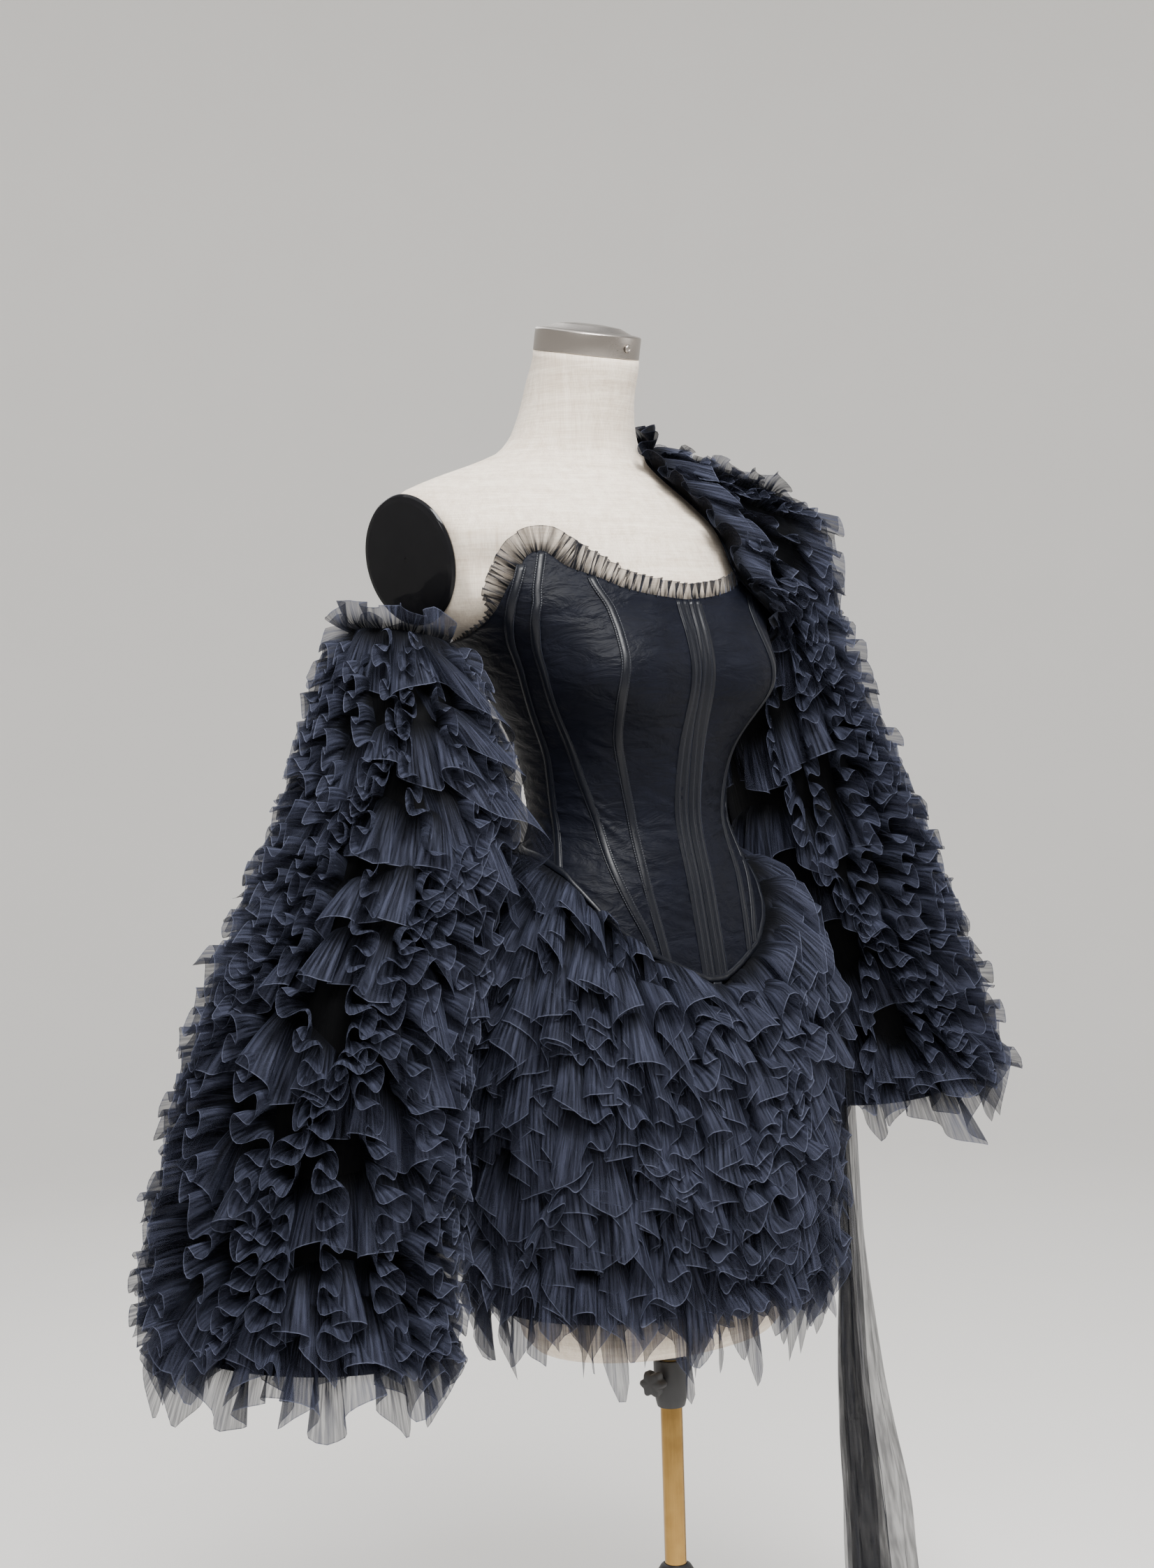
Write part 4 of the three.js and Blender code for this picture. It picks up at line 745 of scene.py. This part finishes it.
def strips(name, made_strips, nodes, finish_with=tulle):
    """Joins strips of cloth into one piece and hides the nodes that it stands for; it also sums their area and the
    length of their free edges, which are not used.
    """
    points, uvs, depths, quads, first, area, edge = [], [], [], [], 0, 0.0, 0.0
    for grid, uv, depth in made_strips:
        quads.append(grid_faces(*grid.shape[:2]) + first)
        first += grid.shape[0] * grid.shape[1]
        points.append(grid.reshape(-1, 3)), uvs.append(uv.reshape(-1, 2)), depths.append(depth.ravel())
        area += spread(grid)[0]
        edge += np.linalg.norm(np.diff(grid[-1], axis=0), axis=-1).sum() / 1000
    cloth = {"uv": np.concatenate(uvs), "marks": {"depth": np.concatenate(depths)}, "finish": finish_with}
    made = piece(name, np.concatenate(points), np.concatenate(quads), closed=False, **cloth)
    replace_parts(made, *nodes), made
    return made


# ---------------------------------------------------------------------------------------------------
# The skirt. A gathered tulle base hangs from the waist under the corset and carries rows of doubled flounces,
# closer together in front, where the corset comes to its point; the last rows end in loose pointed tips.
# ---------------------------------------------------------------------------------------------------
HEM = 638


def skirt_start(angle):
    """The height just under the corset's lower edge."""
    return through(LOWER_EDGE, 1, turn_from_front(angle)) - 2


def skirt_point(angle, z):
    """A point of the base: close to the form under the corset and standing off it by up to 19 mm below."""
    return form_point(angle, z, 2 + 17 * smooth((skirt_start(angle) - z) / 70))


WAIST, TUCKED, FOUNDATION = 1135, 0.12, (40, 160)  # the base's top, the share of it under the corset, its points
angle = np.linspace(-np.pi, np.pi, FOUNDATION[1], endpoint=False)[None, :]
start = skirt_start(angle)
share = np.linspace(0, 1, FOUNDATION[0])[:, None]
hidden = WAIST + (start - WAIST) * share / TUCKED
shown = start + (HEM + 32 - start) * (share - TUCKED) / (1 - TUCKED)
z = np.where(share < TUCKED, hidden, shown)
uv = together(angle * 0.15, (z - HEM) * 0.001 + 0.01)
quads = grid_faces(*FOUNDATION, round_it=True)[:, ::-1]
made = piece("skirt_foundation", skirt_point(angle, z), quads, uv=uv, finish=lining, closed=False)
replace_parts(made, "skirt_base"), made


def outward(normal, foot):
    """Normals at length one, turned away from the skirt's middle."""
    normal = unit(normal)
    return normal * np.sign((normal * (foot - np.array([0, 30, 0])))[:, :2].sum(1))[:, None]


def skirt_frame(angle, z):
    """The base's point, its directions down and out, and the direction along a line on it."""
    foot = skirt_point(angle, z)
    fall = unit(skirt_point(angle, z - 30) - foot)
    along = unit(np.gradient(foot, axis=0))
    return foot, fall, outward(np.cross(fall, along), foot), along


def under_sash(angle):
    """How far a place lies under the sash, from 0 to 1."""
    return np.exp(-(((np.degrees(angle) - 68) / 30) ** 2))


def skirt_height(angle, down):
    """The height at a share down the skirt from the corset's edge."""
    start = skirt_start(angle)
    return start + (HEM - start) * np.clip(down, 0, 0.985)


TIERS = 12
for tier in range(TIERS):
    layers = []
    for layer in range(2):
        seed = 100 + tier * 10 + layer * 3
        angle = np.linspace(-np.pi, np.pi, 420)
        waves = ((0.03, 2), (0.028, 5), (0.016, 11))
        sway = sum(high * np.sin(times * angle + (i + 1) * seed) for i, (high, times) in enumerate(waves))
        down = 0.76 * (tier + 0.2 * layer) / TIERS + sway * smooth(tier / 2)
        foot, fall, normal, along = skirt_frame(angle, skirt_height(angle, down))
        pressed = 1 - (0.45 * np.sin(angle) ** 4 + 0.35 * under_sash(angle)) * smooth((down - 0.15) / 0.25)
        lift = pressed * (30 - 0.8 * tier - 9 * layer)
        fall = unit(fall + 0.28 * along * wander(np.degrees(angle), 38, seed + 9)[:, None])
        deep = (40, 50, 54)[min(tier, 2)] - 6 * layer
        layers.append(
            flounce(
                foot, fall, normal, along, deep=deep, stand=lift, wave=18 * pressed, curl=10, length=42 - 4 * layer,
                droop=2, seed=seed, points=34, rows=9, rise=0.5,
            )
        )  # fmt: skip
    strips(f"skirt_flounce_{tier + 1}", layers, [f"skirt_ruffle_{tier // 2 + 1}"])

# Short runs that wander down the skirt and fold to both sides, and the pointed tips under the hem.
for side, hand in ((-1, "right"), (1, "left")):
    layers = []
    for run in range(9):
        down = np.linspace(0.0 + 0.03 * (run % 3), 0.84, 260)
        angle = side * (0.12 + run * 0.36) + 0.16 * np.sin(down * 7 + run * 1.7)
        z = skirt_height(angle, down)
        foot = skirt_point(angle, z)
        along = unit(np.gradient(foot, axis=0))
        around = unit(skirt_point(angle + 0.02, z) - skirt_point(angle - 0.02, z))
        normal = outward(np.cross(around, along), foot)
        short = (0.45 + 0.55 * smooth(down / 0.15)) * (1 - 0.35 * np.sin(angle) ** 4 - 0.4 * under_sash(angle))
        layers.append(
            flounce(
                foot, normal, around, along, deep=40 * short, stand=6 * np.sin(down * 11 + run), wave=17 * short, curl=9,
                length=44, droop=20, seed=400 + run * 5 + side, points=16, rows=7, rise=1,
            )
        )  # fmt: skip
    strips(f"skirt_runs_{hand}", layers, [f"skirt_ruffle_{i + 1}" for i in range(6)])
layers = []
for layer in range(3):
    angle = np.linspace(-np.pi, np.pi, 420)
    foot, fall, normal, along = skirt_frame(angle, 704.0 + 13 * layer + 6 * np.sin(4 * angle + layer))
    layers.append(
        flounce(
            foot, fall, normal, along, deep=30 + 4 * layer, stand=12 + 7 * layer, wave=12, curl=5, length=36 + 6 * layer,
            droop=0, seed=170 + layer * 9, points=8, tips=84 - 14 * layer, rows=10,
        )
    )  # fmt: skip
strips("skirt_hem_tips", layers, ["skirt_ruffle_6"])

# ---------------------------------------------------------------------------------------------------
# The sleeves. Each is an open tube of tulle with flounces in rows round it and in runs down it, whose edges
# double back in deep folds. The right one hangs off the shoulder, and the left one starts along the neck.
# ---------------------------------------------------------------------------------------------------
STATIONS = {
    # distance down the sleeve, x, y, z of the ring's middle, how far its outer side is raised, half sizes
    "left": np.array(
        [[0, 150, 95, 1400, 100, 105, 95], [95, 208, 100, 1397, 74, 98, 94], [195, 242, 92, 1300, 30, 70, 78],
         [280, 264, 80, 1217, 14, 72, 78], [455, 304, 62, 1046, 12, 82, 88], [625, 364, 52, 880, 10, 92, 98],
         [735, 392, 48, 775, 8, 98, 104]], float),
    "right": np.array(
        [[0, 228, 110, 1330, 12, 46, 52], [60, 232, 100, 1272, 12, 60, 66], [150, 248, 80, 1184, 12, 76, 86],
         [380, 348, 62, 958, 12, 88, 94], [530, 374, 64, 810, 6, 102, 104], [680, 388, 66, 652, 4, 116, 118]], float),
}  # fmt: skip
# Where the left sleeve starts on the body: turn round the sleeve, turn from the front, height, distance off
SHOULDER_LINE = np.array(
    [[0, 85, 1528, 7], [30, 50, 1524, 7], [60, 26, 1502, 9], [90, 30, 1442, 12], [120, 25, 1390, 14], [150, 43, 1340, 18],
     [165, 65, 1316, 22], [180, 90, 1292, 18], [210, 106, 1312, 15], [240, 116, 1362, 12], [270, 124, 1420, 10],
     [300, 126, 1470, 9], [330, 112, 1510, 8], [360, 85, 1528, 7]], float,
)  # fmt: skip


def clear_of_form(points, room):
    """Moves points straight out of the form until they are clear of its skin by the given room."""
    x, y, z = np.moveaxis(points, -1, 0)
    middle = through(FORM_ROWS, 1, z)
    reach = np.maximum(np.hypot(x, middle - y), 1e-6)
    least = form_radius(np.arctan2(x, middle - y), np.clip(z, 622, 1617)) + room
    share = np.maximum(least / reach, 1)
    return np.stack([x * share, middle + (y - middle) * share, z], -1)


def toward_body(turn):
    """From 0 on a sleeve's outer side to 1 on the side that lies against the body."""
    return smooth((np.abs(np.arctan2(np.sin(turn), np.cos(turn))) / np.pi - 0.55) / 0.35)


def sleeve_point(name, s, turn):
    """A point of a sleeve's tube: an ellipse round the station's middle with its outer side raised. The left
    sleeve's first rings run from the shoulder line on the body to the first whole ring."""
    table, side = STATIONS[name], 1 if name == "left" else -1
    on_body = 95.0 if name == "left" else 0.0
    s, turn = np.broadcast_arrays(np.asarray(s, float), np.asarray(turn, float))
    at = np.maximum(s, on_body)
    raised = np.radians(through(table, 4, at))
    reach, ahead = through(table, 5, at) * np.cos(turn), through(table, 6, at) * np.sin(turn)
    x, y, z = [through(table, column, at) for column in (1, 2, 3)]
    ring = np.stack([side * (x + reach * np.cos(raised)), y - ahead, z + reach * np.sin(raised)], -1)
    if name == "right":
        return clear_of_form(ring, 20 + 3 * toward_body(turn))
    degrees = np.degrees(turn) % 360
    angle, z, off = [through(SHOULDER_LINE, column, degrees) for column in (1, 2, 3)]
    worn_at = form_point(np.radians(angle), z, off)
    share = np.clip(s / on_body, 0, 1)
    room = 10 + 11 * np.sqrt(share) - (share == 1) + 3 * toward_body(turn)
    return clear_of_form(worn_at + (ring - worn_at) * share[..., None], room)


def sleeve_frame(name, s, turn):
    """The tube's point, its outward normal, and its directions down and round it."""
    here = sleeve_point(name, s, turn)
    down = unit(sleeve_point(name, s + 4, turn) - sleeve_point(name, np.maximum(s - 4, 0), turn))
    around = unit(sleeve_point(name, s, turn + 0.06) - sleeve_point(name, s, turn - 0.06))
    normal = unit(np.cross(around, down))
    middle = sleeve_point(name, s[..., None], np.linspace(0, 2 * np.pi, 12, endpoint=False)).mean(-2)
    normal *= np.sign((normal * (here - middle)).sum(-1))[..., None]
    return here, normal, down, around


# name, tiers of the solid, length, first seed, share of the ruffles' depth at the top, the heading's cloth
SLEEVES = [("right", 6, 640, 300, 0.55, tulle), ("left", 7, 668, 500, 0.4, lining)]
TUBE_POINTS, ROWS, RUNS = (70, 96), 11, 26
for name, tiers, hem, seed, least, heading_cloth in SLEEVES:
    s = np.linspace(0, hem, TUBE_POINTS[0])[:, None]
    turn = np.linspace(0, 2 * np.pi, TUBE_POINTS[1], endpoint=False)[None, :]
    tube = sleeve_point(name, s, turn)
    uv = together(turn * 0.09, (hem - s) * 0.001 + 0.01)
    quads = grid_faces(*TUBE_POINTS, round_it=True)[:, :: 1 if name == "left" else -1]
    made = piece(f"sleeve_{name}_tube", tube, quads, uv=uv, finish=lining, closed=False)
    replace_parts(made, f"sleeve_{name}_base"), made

    ruffles = [f"sleeve_{name}_ruffle_{i + 1}" for i in range(tiers)]
    # Rows round the sleeve, which hang down in broad folds; the last ones end in points.
    rows = np.concatenate([np.linspace(0, hem - 90, 8), [hem - 60, hem - 40, hem - 24]])
    for third in range(3):
        layers = []
        for i in range(third, ROWS, 3):
            turn = np.linspace(0.02, 2 * np.pi - 0.02, 280) + np.pi
            slant = 24 * np.sin(turn + i) + 15 * np.sin(3 * turn + 2 * i)
            at = np.clip(rows[i] + 3 + slant * smooth(rows[i] / 60) * (i < 8), 0, hem)
            here, normal, down, around = sleeve_frame(name, at, turn)
            near = toward_body(turn) * (1 - 0.75 * np.exp(-(((at - 290) / 90) ** 2)))
            low = least + (1 - least) * smooth(at / 430)
            layers.append(
                flounce(
                    here, down, normal, around, deep=60 - 20 * (i >= 8) - 18 * near, stand=low * (28 - 23 * near),
                    wave=low * (20 - 15 * near), curl=10 - 7 * near, length=44, droop=2, seed=seed + i * 5, points=16,
                    tips=34.0 * (i >= 8), rows=8,
                )
            )  # fmt: skip
        strips(f"sleeve_{name}_rows_{third + 1}", layers, ruffles)
    # A heading stands up from the sleeve's upper edge.
    turn = np.linspace(0.02, 2 * np.pi - 0.02, 280) + np.pi
    here, normal, down, around = sleeve_frame(name, 3 + 0 * turn, turn)
    outer_side = 1 - 0.7 * toward_body(turn)
    heading = flounce(
        here, -down, normal, around, deep=20 * outer_side, stand=17 * outer_side, wave=8 * outer_side, curl=5,
        length=34, droop=0, seed=seed + 77, points=8, rows=7,
    )  # fmt: skip
    strips(f"sleeve_{name}_heading", [heading], ruffles, finish_with=heading_cloth)
    # Runs down the sleeve, which stand out from it and fold to both sides.
    for part in range(4):
        layers = []
        for i in range(part, RUNS, 4):
            turn = 2 * np.pi * (i + 0.5) / RUNS - np.pi
            if toward_body(turn) > 0.8:
                continue
            at = np.linspace(8 + 14 * (i % 3), hem - 6 - 16 * (i % 2), 400)
            angle = turn + 0.16 * np.sin(at / 62 + i * 1.3) + 0.05 * np.sin(at / 23 + i)
            here, normal, down, around = sleeve_frame(name, at, angle)
            short = (least + (1 - least) * smooth(at / 430)) * (1 - 0.75 * toward_body(angle))
            layers.append(
                flounce(
                    here, normal, around, down, deep=48 * short, stand=7 * np.sin(at / 45 + 2 * i), wave=17 * short,
                    curl=8, length=35, droop=12, seed=seed + 90 + i * 5, points=12, rows=7, rise=1,
                )
            )  # fmt: skip
        strips(f"sleeve_{name}_runs_{part + 1}", layers, ruffles)

# Broad smooth flounces that slant down the front of the right sleeve, each over the next, towards the body.
layers = []
for i in range(8):
    degrees = np.linspace(58, 196, 180)
    turn = np.radians(degrees)
    at = 6 + i * 46 + 66 * (degrees - 58) / 130 + 6 * np.sin(5 * turn + i)
    here, normal, down, around = sleeve_frame("right", at, turn)
    at_waist = np.exp(-(((at - 275) / 80) ** 2))
    fading = smooth((degrees - 58) / 25) * (1 - (0.55 - 0.5 * at_waist) * smooth((degrees - 150) / 30))
    layers.append(
        flounce(
            here, unit(down + 0.35 * around), normal, around, deep=30 + 54 * fading, stand=34 * fading, wave=11 * fading,
            curl=4, length=74, droop=4, seed=640 + i * 5, points=12, rows=9,
        )
    )  # fmt: skip
strips("sleeve_right_front_flounces", layers, ["sleeve_right_ruffle_1", "sleeve_right_ruffle_2"])

# ---------------------------------------------------------------------------------------------------
# The back of the shrug, one plain width of tulle from sleeve to sleeve, and the sash: a long width of tulle
# folded lengthwise, knotted under the corset's edge at the left hip, that opens out towards the floor.
# ---------------------------------------------------------------------------------------------------
SHRUG = (40, 140)  # points up it and from sleeve to sleeve


def shrug_width(rows, columns):
    """Points between the two sleeves' tops over the form's back, 11 mm off it and at the seams on the sleeves,
    with low folds that run from side to side."""
    up, t = np.linspace(0, 1, rows)[:, None], np.linspace(0, 1, columns)[None, :]
    left = sleeve_point("left", np.zeros(rows), np.pi + 2 * np.pi * (3 + 5 * up[:, 0]) / 24)
    right = sleeve_point("right", np.zeros(rows), np.pi + 2 * np.pi * (2 + 5 * up[:, 0]) / 24)
    ends = []
    for end in (left, right):
        x, y, z = end.T
        middle = through(FORM_ROWS, 1, z)
        angle = np.arctan2(x, middle - y) % (2 * np.pi)
        ends.append((angle, z, np.hypot(x, middle - y) - form_radius(angle, z)))
    (a, az, ao), (b, bz, bo) = [[value[:, None] for value in end] for end in ends]
    folds = 1.6 * np.sin(up * 34 + 2 * np.sin(t * 5)) * np.sin(np.pi * t)
    off = 12 + (ao - 11) * (1 - t) ** 6 + (bo - 11) * t**6 + folds
    return form_point(a + (b - a) * t, az + (bz - az) * t, off)


grid = shrug_width(*SHRUG)
uv = together(np.linspace(0, 0.25, SHRUG[0])[:, None], 0.02 + np.linspace(0, 0.5, SHRUG[1])[None, :])
marks = {"depth": np.full(SHRUG, 0.5)}
made = piece("shrug_width", grid, grid_faces(*SHRUG), uv=uv, marks=marks, finish=tulle, closed=False)
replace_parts(made, "shrug_back"), made

SASH = np.array(
    # height, x, y, width, depth of its folds, how far it is turned
    [[215, 288, -22, 84, 12, -60], [385, 277, -20, 76, 11, -60], [545, 260, -17, 51, 9, -60], [700, 252, -16, 28, 7, -60],
     [860, 248, -14, 22, 5, -60], [920, 238, -11, 20, 5, -60], [980, 224, -10, 18, 4, -64], [1038, 190, -10, 16, 4, -96],
     [1052, 178.5, -7.5, 15, 3.5, -104], [1066, 163.5, -3.8, 14, 3, -104], [1078, 149.9, -0.4, 14, 3, -104],
     [1088, 137.8, 2.6, 13, 2.5, -104], [1097, 127.1, 5.3, 12, 2, -104], [1103, 123.2, 6.3, 12, 2, -104]], float,
)  # fmt: skip


SASH_END, SASH_TOP, SASH_POINTS = 215, 1103, (120, 41)


def sash_folds(first, last, behind):
    """The sash's cross section at each height: a zigzag of soft folds, as deep as the table says, across a share
    of its width, turned and placed as the table says. A folded layer lies behind by the given distance."""
    z = np.linspace(SASH_END, SASH_TOP, SASH_POINTS[0])[:, None]
    c = np.linspace(first, last, SASH_POINTS[1])[None, :] + 0.03 * np.sin(z / 120 + behind)
    wide, fold, turn = through(SASH, 3, z), through(SASH, 4, z), np.radians(through(SASH, 5, z))
    shift = 0.9 * np.sin(z / 90 + 0.5 * behind) + 0.4 * np.sin(z / 37 + behind)
    deep = fold * (0.55 * np.sin(2 * np.pi * 2.5 * c + shift) + 0.25 * np.sin(2 * np.pi * 6 * c - 2 * shift))
    across = wide * (c + 0.03 * np.sin(2 * np.pi * 5 * c + shift))
    deep = deep + behind * smooth((1090 - z) / 200)
    x = through(SASH, 1, z) + across * np.cos(turn) + deep * np.sin(turn)
    y = through(SASH, 2, z) + across * np.sin(turn) - deep * np.cos(turn)
    return together(x, y, z)


grids = [sash_folds(-0.5, 0.5, 0), sash_folds(-0.5, 0.16, 2.2), sash_folds(-0.42, -0.02, 4.0)]
across = np.linspace(0, 0.08, SASH_POINTS[1])[None, :]
uv = np.stack([together(across, (grid[..., 2] - SASH_END) * 0.001) for grid in grids])
quads = np.concatenate([grid_faces(*SASH_POINTS) + i * grid[..., 0].size for i, grid in enumerate(grids)])
marks = {"depth": np.full(uv.shape[:-1], 0.8)}
made = piece("sash", np.stack(grids), quads, uv=uv, marks=marks, finish=sash_tulle, closed=False)
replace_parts(made, "sash_tail"), made

# The pleated net that stands on the corset's upper edge, in narrow knife pleats.
FRILL_HEIGHT = np.array([[0, 25], [45, 27], [60, 22], [72, 9], [115, 8], [135, 13], [180, 14]], float)


def pleated_net(columns=2200, rows=7, pleats=98):
    """Pleats along the upper edge: a foot inside the corset, an upward direction square to the edge, and a
    zigzag that opens towards the free edge; it is pressed flat where the left sleeve and the shrug cover it."""
    angle = np.linspace(-np.pi, np.pi, columns)
    z = through(UPPER_EDGE, 1, turn_from_front(angle))
    foot = worn(angle, z - 5, 2.6)
    level = unit(worn(angle, z, 10.0) - worn(angle, z, 0.0))
    along = unit(np.gradient(foot, axis=0))
    rise = unit(np.cross(level, along))
    rise *= np.sign(rise[:, 2:])
    degrees = np.degrees(angle)
    tall = 3 + through(FRILL_HEIGHT, 1, np.abs(degrees)) * (0.7 + 0.3 * smooth((np.abs(degrees) - 25) / 20))
    covered = 1 - 0.65 * (smooth((degrees - 14) / 6) + smooth((-90 - degrees) / 6))
    s = np.concatenate([[0], np.cumsum(np.linalg.norm(np.diff(foot, axis=0), axis=-1))])
    phase = 2 * np.pi * pleats * s / s[-1] + 0.8 * wander(s, 60, 8)
    v = np.linspace(0, 1, rows)[:, None]
    zigzag = np.arcsin(0.97 * np.sin(phase)) / 1.33
    sway = covered * (0.8 + 5.2 * v**0.8) * zigzag
    lean = covered * 2.6 * v**1.4 + 1.2 * covered * v * wander(s, 30, 9)
    points = foot + rise * (tall * v * (1 + 0.05 * v * wander(s, 14, 7)))[..., None]
    points = points + level * (sway + lean)[..., None] + along * (2.8 * v * covered * np.sin(2 * phase))[..., None]
    uv = np.stack([np.broadcast_to(s * 2.2, sway.shape), (1 - v) * tall], -1) * 0.001
    return points, uv, np.broadcast_to(v, sway.shape)


strips("net_frill", [pleated_net()], ["corset_neck_frill"], finish_with=net)

# ---------------------------------------------------------------------------------------------------
# The studio: a wide pale floor that curves up all round, soft lights from above and from the sides, and the
# camera, right of the dress form at its waist's height.
# ---------------------------------------------------------------------------------------------------
paper, tree, shader = finish("pale paper", Roughness=0.9, Specular_IOR_Level=0.1)
mottled = noise(tree, place_of(tree), 3.0, 3.0)
feed(tree, shader, Base_Color=between(tree, mottled, (0.83, 0.81, 0.78), (0.86, 0.84, 0.81)))
FLAT, BEND, RIM, SIDES = 4500, 3500, 7000, 96  # the flat part's radius, the curve's radius, the rim's height
bend = np.linspace(0, np.pi / 2, 25)[:, None]
curve = np.hstack([FLAT + BEND * np.sin(bend), BEND - 0.5 - BEND * np.cos(bend)])
profile = np.concatenate([[[FLAT, -0.5]], curve, [[FLAT + BEND, RIM]]])
turn = np.linspace(0, 2 * np.pi, SIDES, endpoint=False)[None, :]
dish = together(profile[:, :1] * np.cos(turn), profile[:, :1] * np.sin(turn), profile[:, 1:]).reshape(-1, 3)
rows = grid_faces(len(profile), SIDES, round_it=True)[:, ::-1].tolist()
backdrop_mesh = bpy.data.meshes.new("studio_floor")
backdrop_mesh.from_pydata((dish * 0.001).tolist(), [], [list(range(SIDES))] + rows)
backdrop_mesh.materials.append(paper)
backdrop_mesh.polygons.foreach_set("use_smooth", np.ones(len(backdrop_mesh.polygons), bool))
backdrop = bpy.data.objects.new("studio_floor", backdrop_mesh)
bpy.context.scene.collection.objects.link(backdrop)


def soft_light(name, at, aim, size, power, colour=(1, 1, 1)):
    """A square soft box at a point, aimed at another."""
    lamp = bpy.data.lights.new(name, "AREA")
    lamp.size, lamp.energy, lamp.color = size, power, colour
    made = bpy.data.objects.new(name, lamp)
    bpy.context.scene.collection.objects.link(made)
    made.location = at
    made.rotation_euler = (Vector(aim) - Vector(at)).to_track_quat("-Z", "Y").to_euler()


soft_light("overhead", (-0.6, -1.5, 3.4), (0, 0, 1.1), 1.0, 175)
soft_light("near side", (-2.4, -2.6, 3.0), (0, 0, 1.0), 1.2, 50)
soft_light("far side", (2.6, -2.0, 2.0), (0, 0, 1.0), 1.4, 14)
soft_light("behind", (0.8, 2.6, 3.2), (0, 0, 1.1), 1.6, 30)
soft_light("ceiling", (0, 0, 7.0), (0, 0.001, 0), 7.0, 300)
world = bpy.data.worlds.new("studio")
world.use_nodes = True
world.node_tree.nodes["Background"].inputs["Color"].default_value = (0.9, 0.92, 0.95, 1)
world.node_tree.nodes["Background"].inputs["Strength"].default_value = 0.4
bpy.context.scene.world = world

eye, target, roll = Vector((-1.606, -1.784, 1.256)), Vector((-0.05685, 0.05119, 1.1805)), -0.03
ahead = (target - eye).normalized()
level = ahead.cross(Vector((0, 0, 1))).normalized()
upright = level.cross(ahead)
rightward = level * math.cos(roll) + upright * math.sin(roll)
upward = upright * math.cos(roll) - level * math.sin(roll)
lens = bpy.data.cameras.new("camera")
lens.sensor_fit, lens.sensor_height, lens.lens = "VERTICAL", 36, 55.0
camera = bpy.data.objects.new("camera", lens)
bpy.context.scene.collection.objects.link(camera)
camera.matrix_world = Matrix(
    [
        (rightward.x, upward.x, -ahead.x, eye.x),
        (rightward.y, upward.y, -ahead.y, eye.y),
        (rightward.z, upward.z, -ahead.z, eye.z),
        (0, 0, 0, 1),
    ]
)
bpy.context.scene.camera = camera
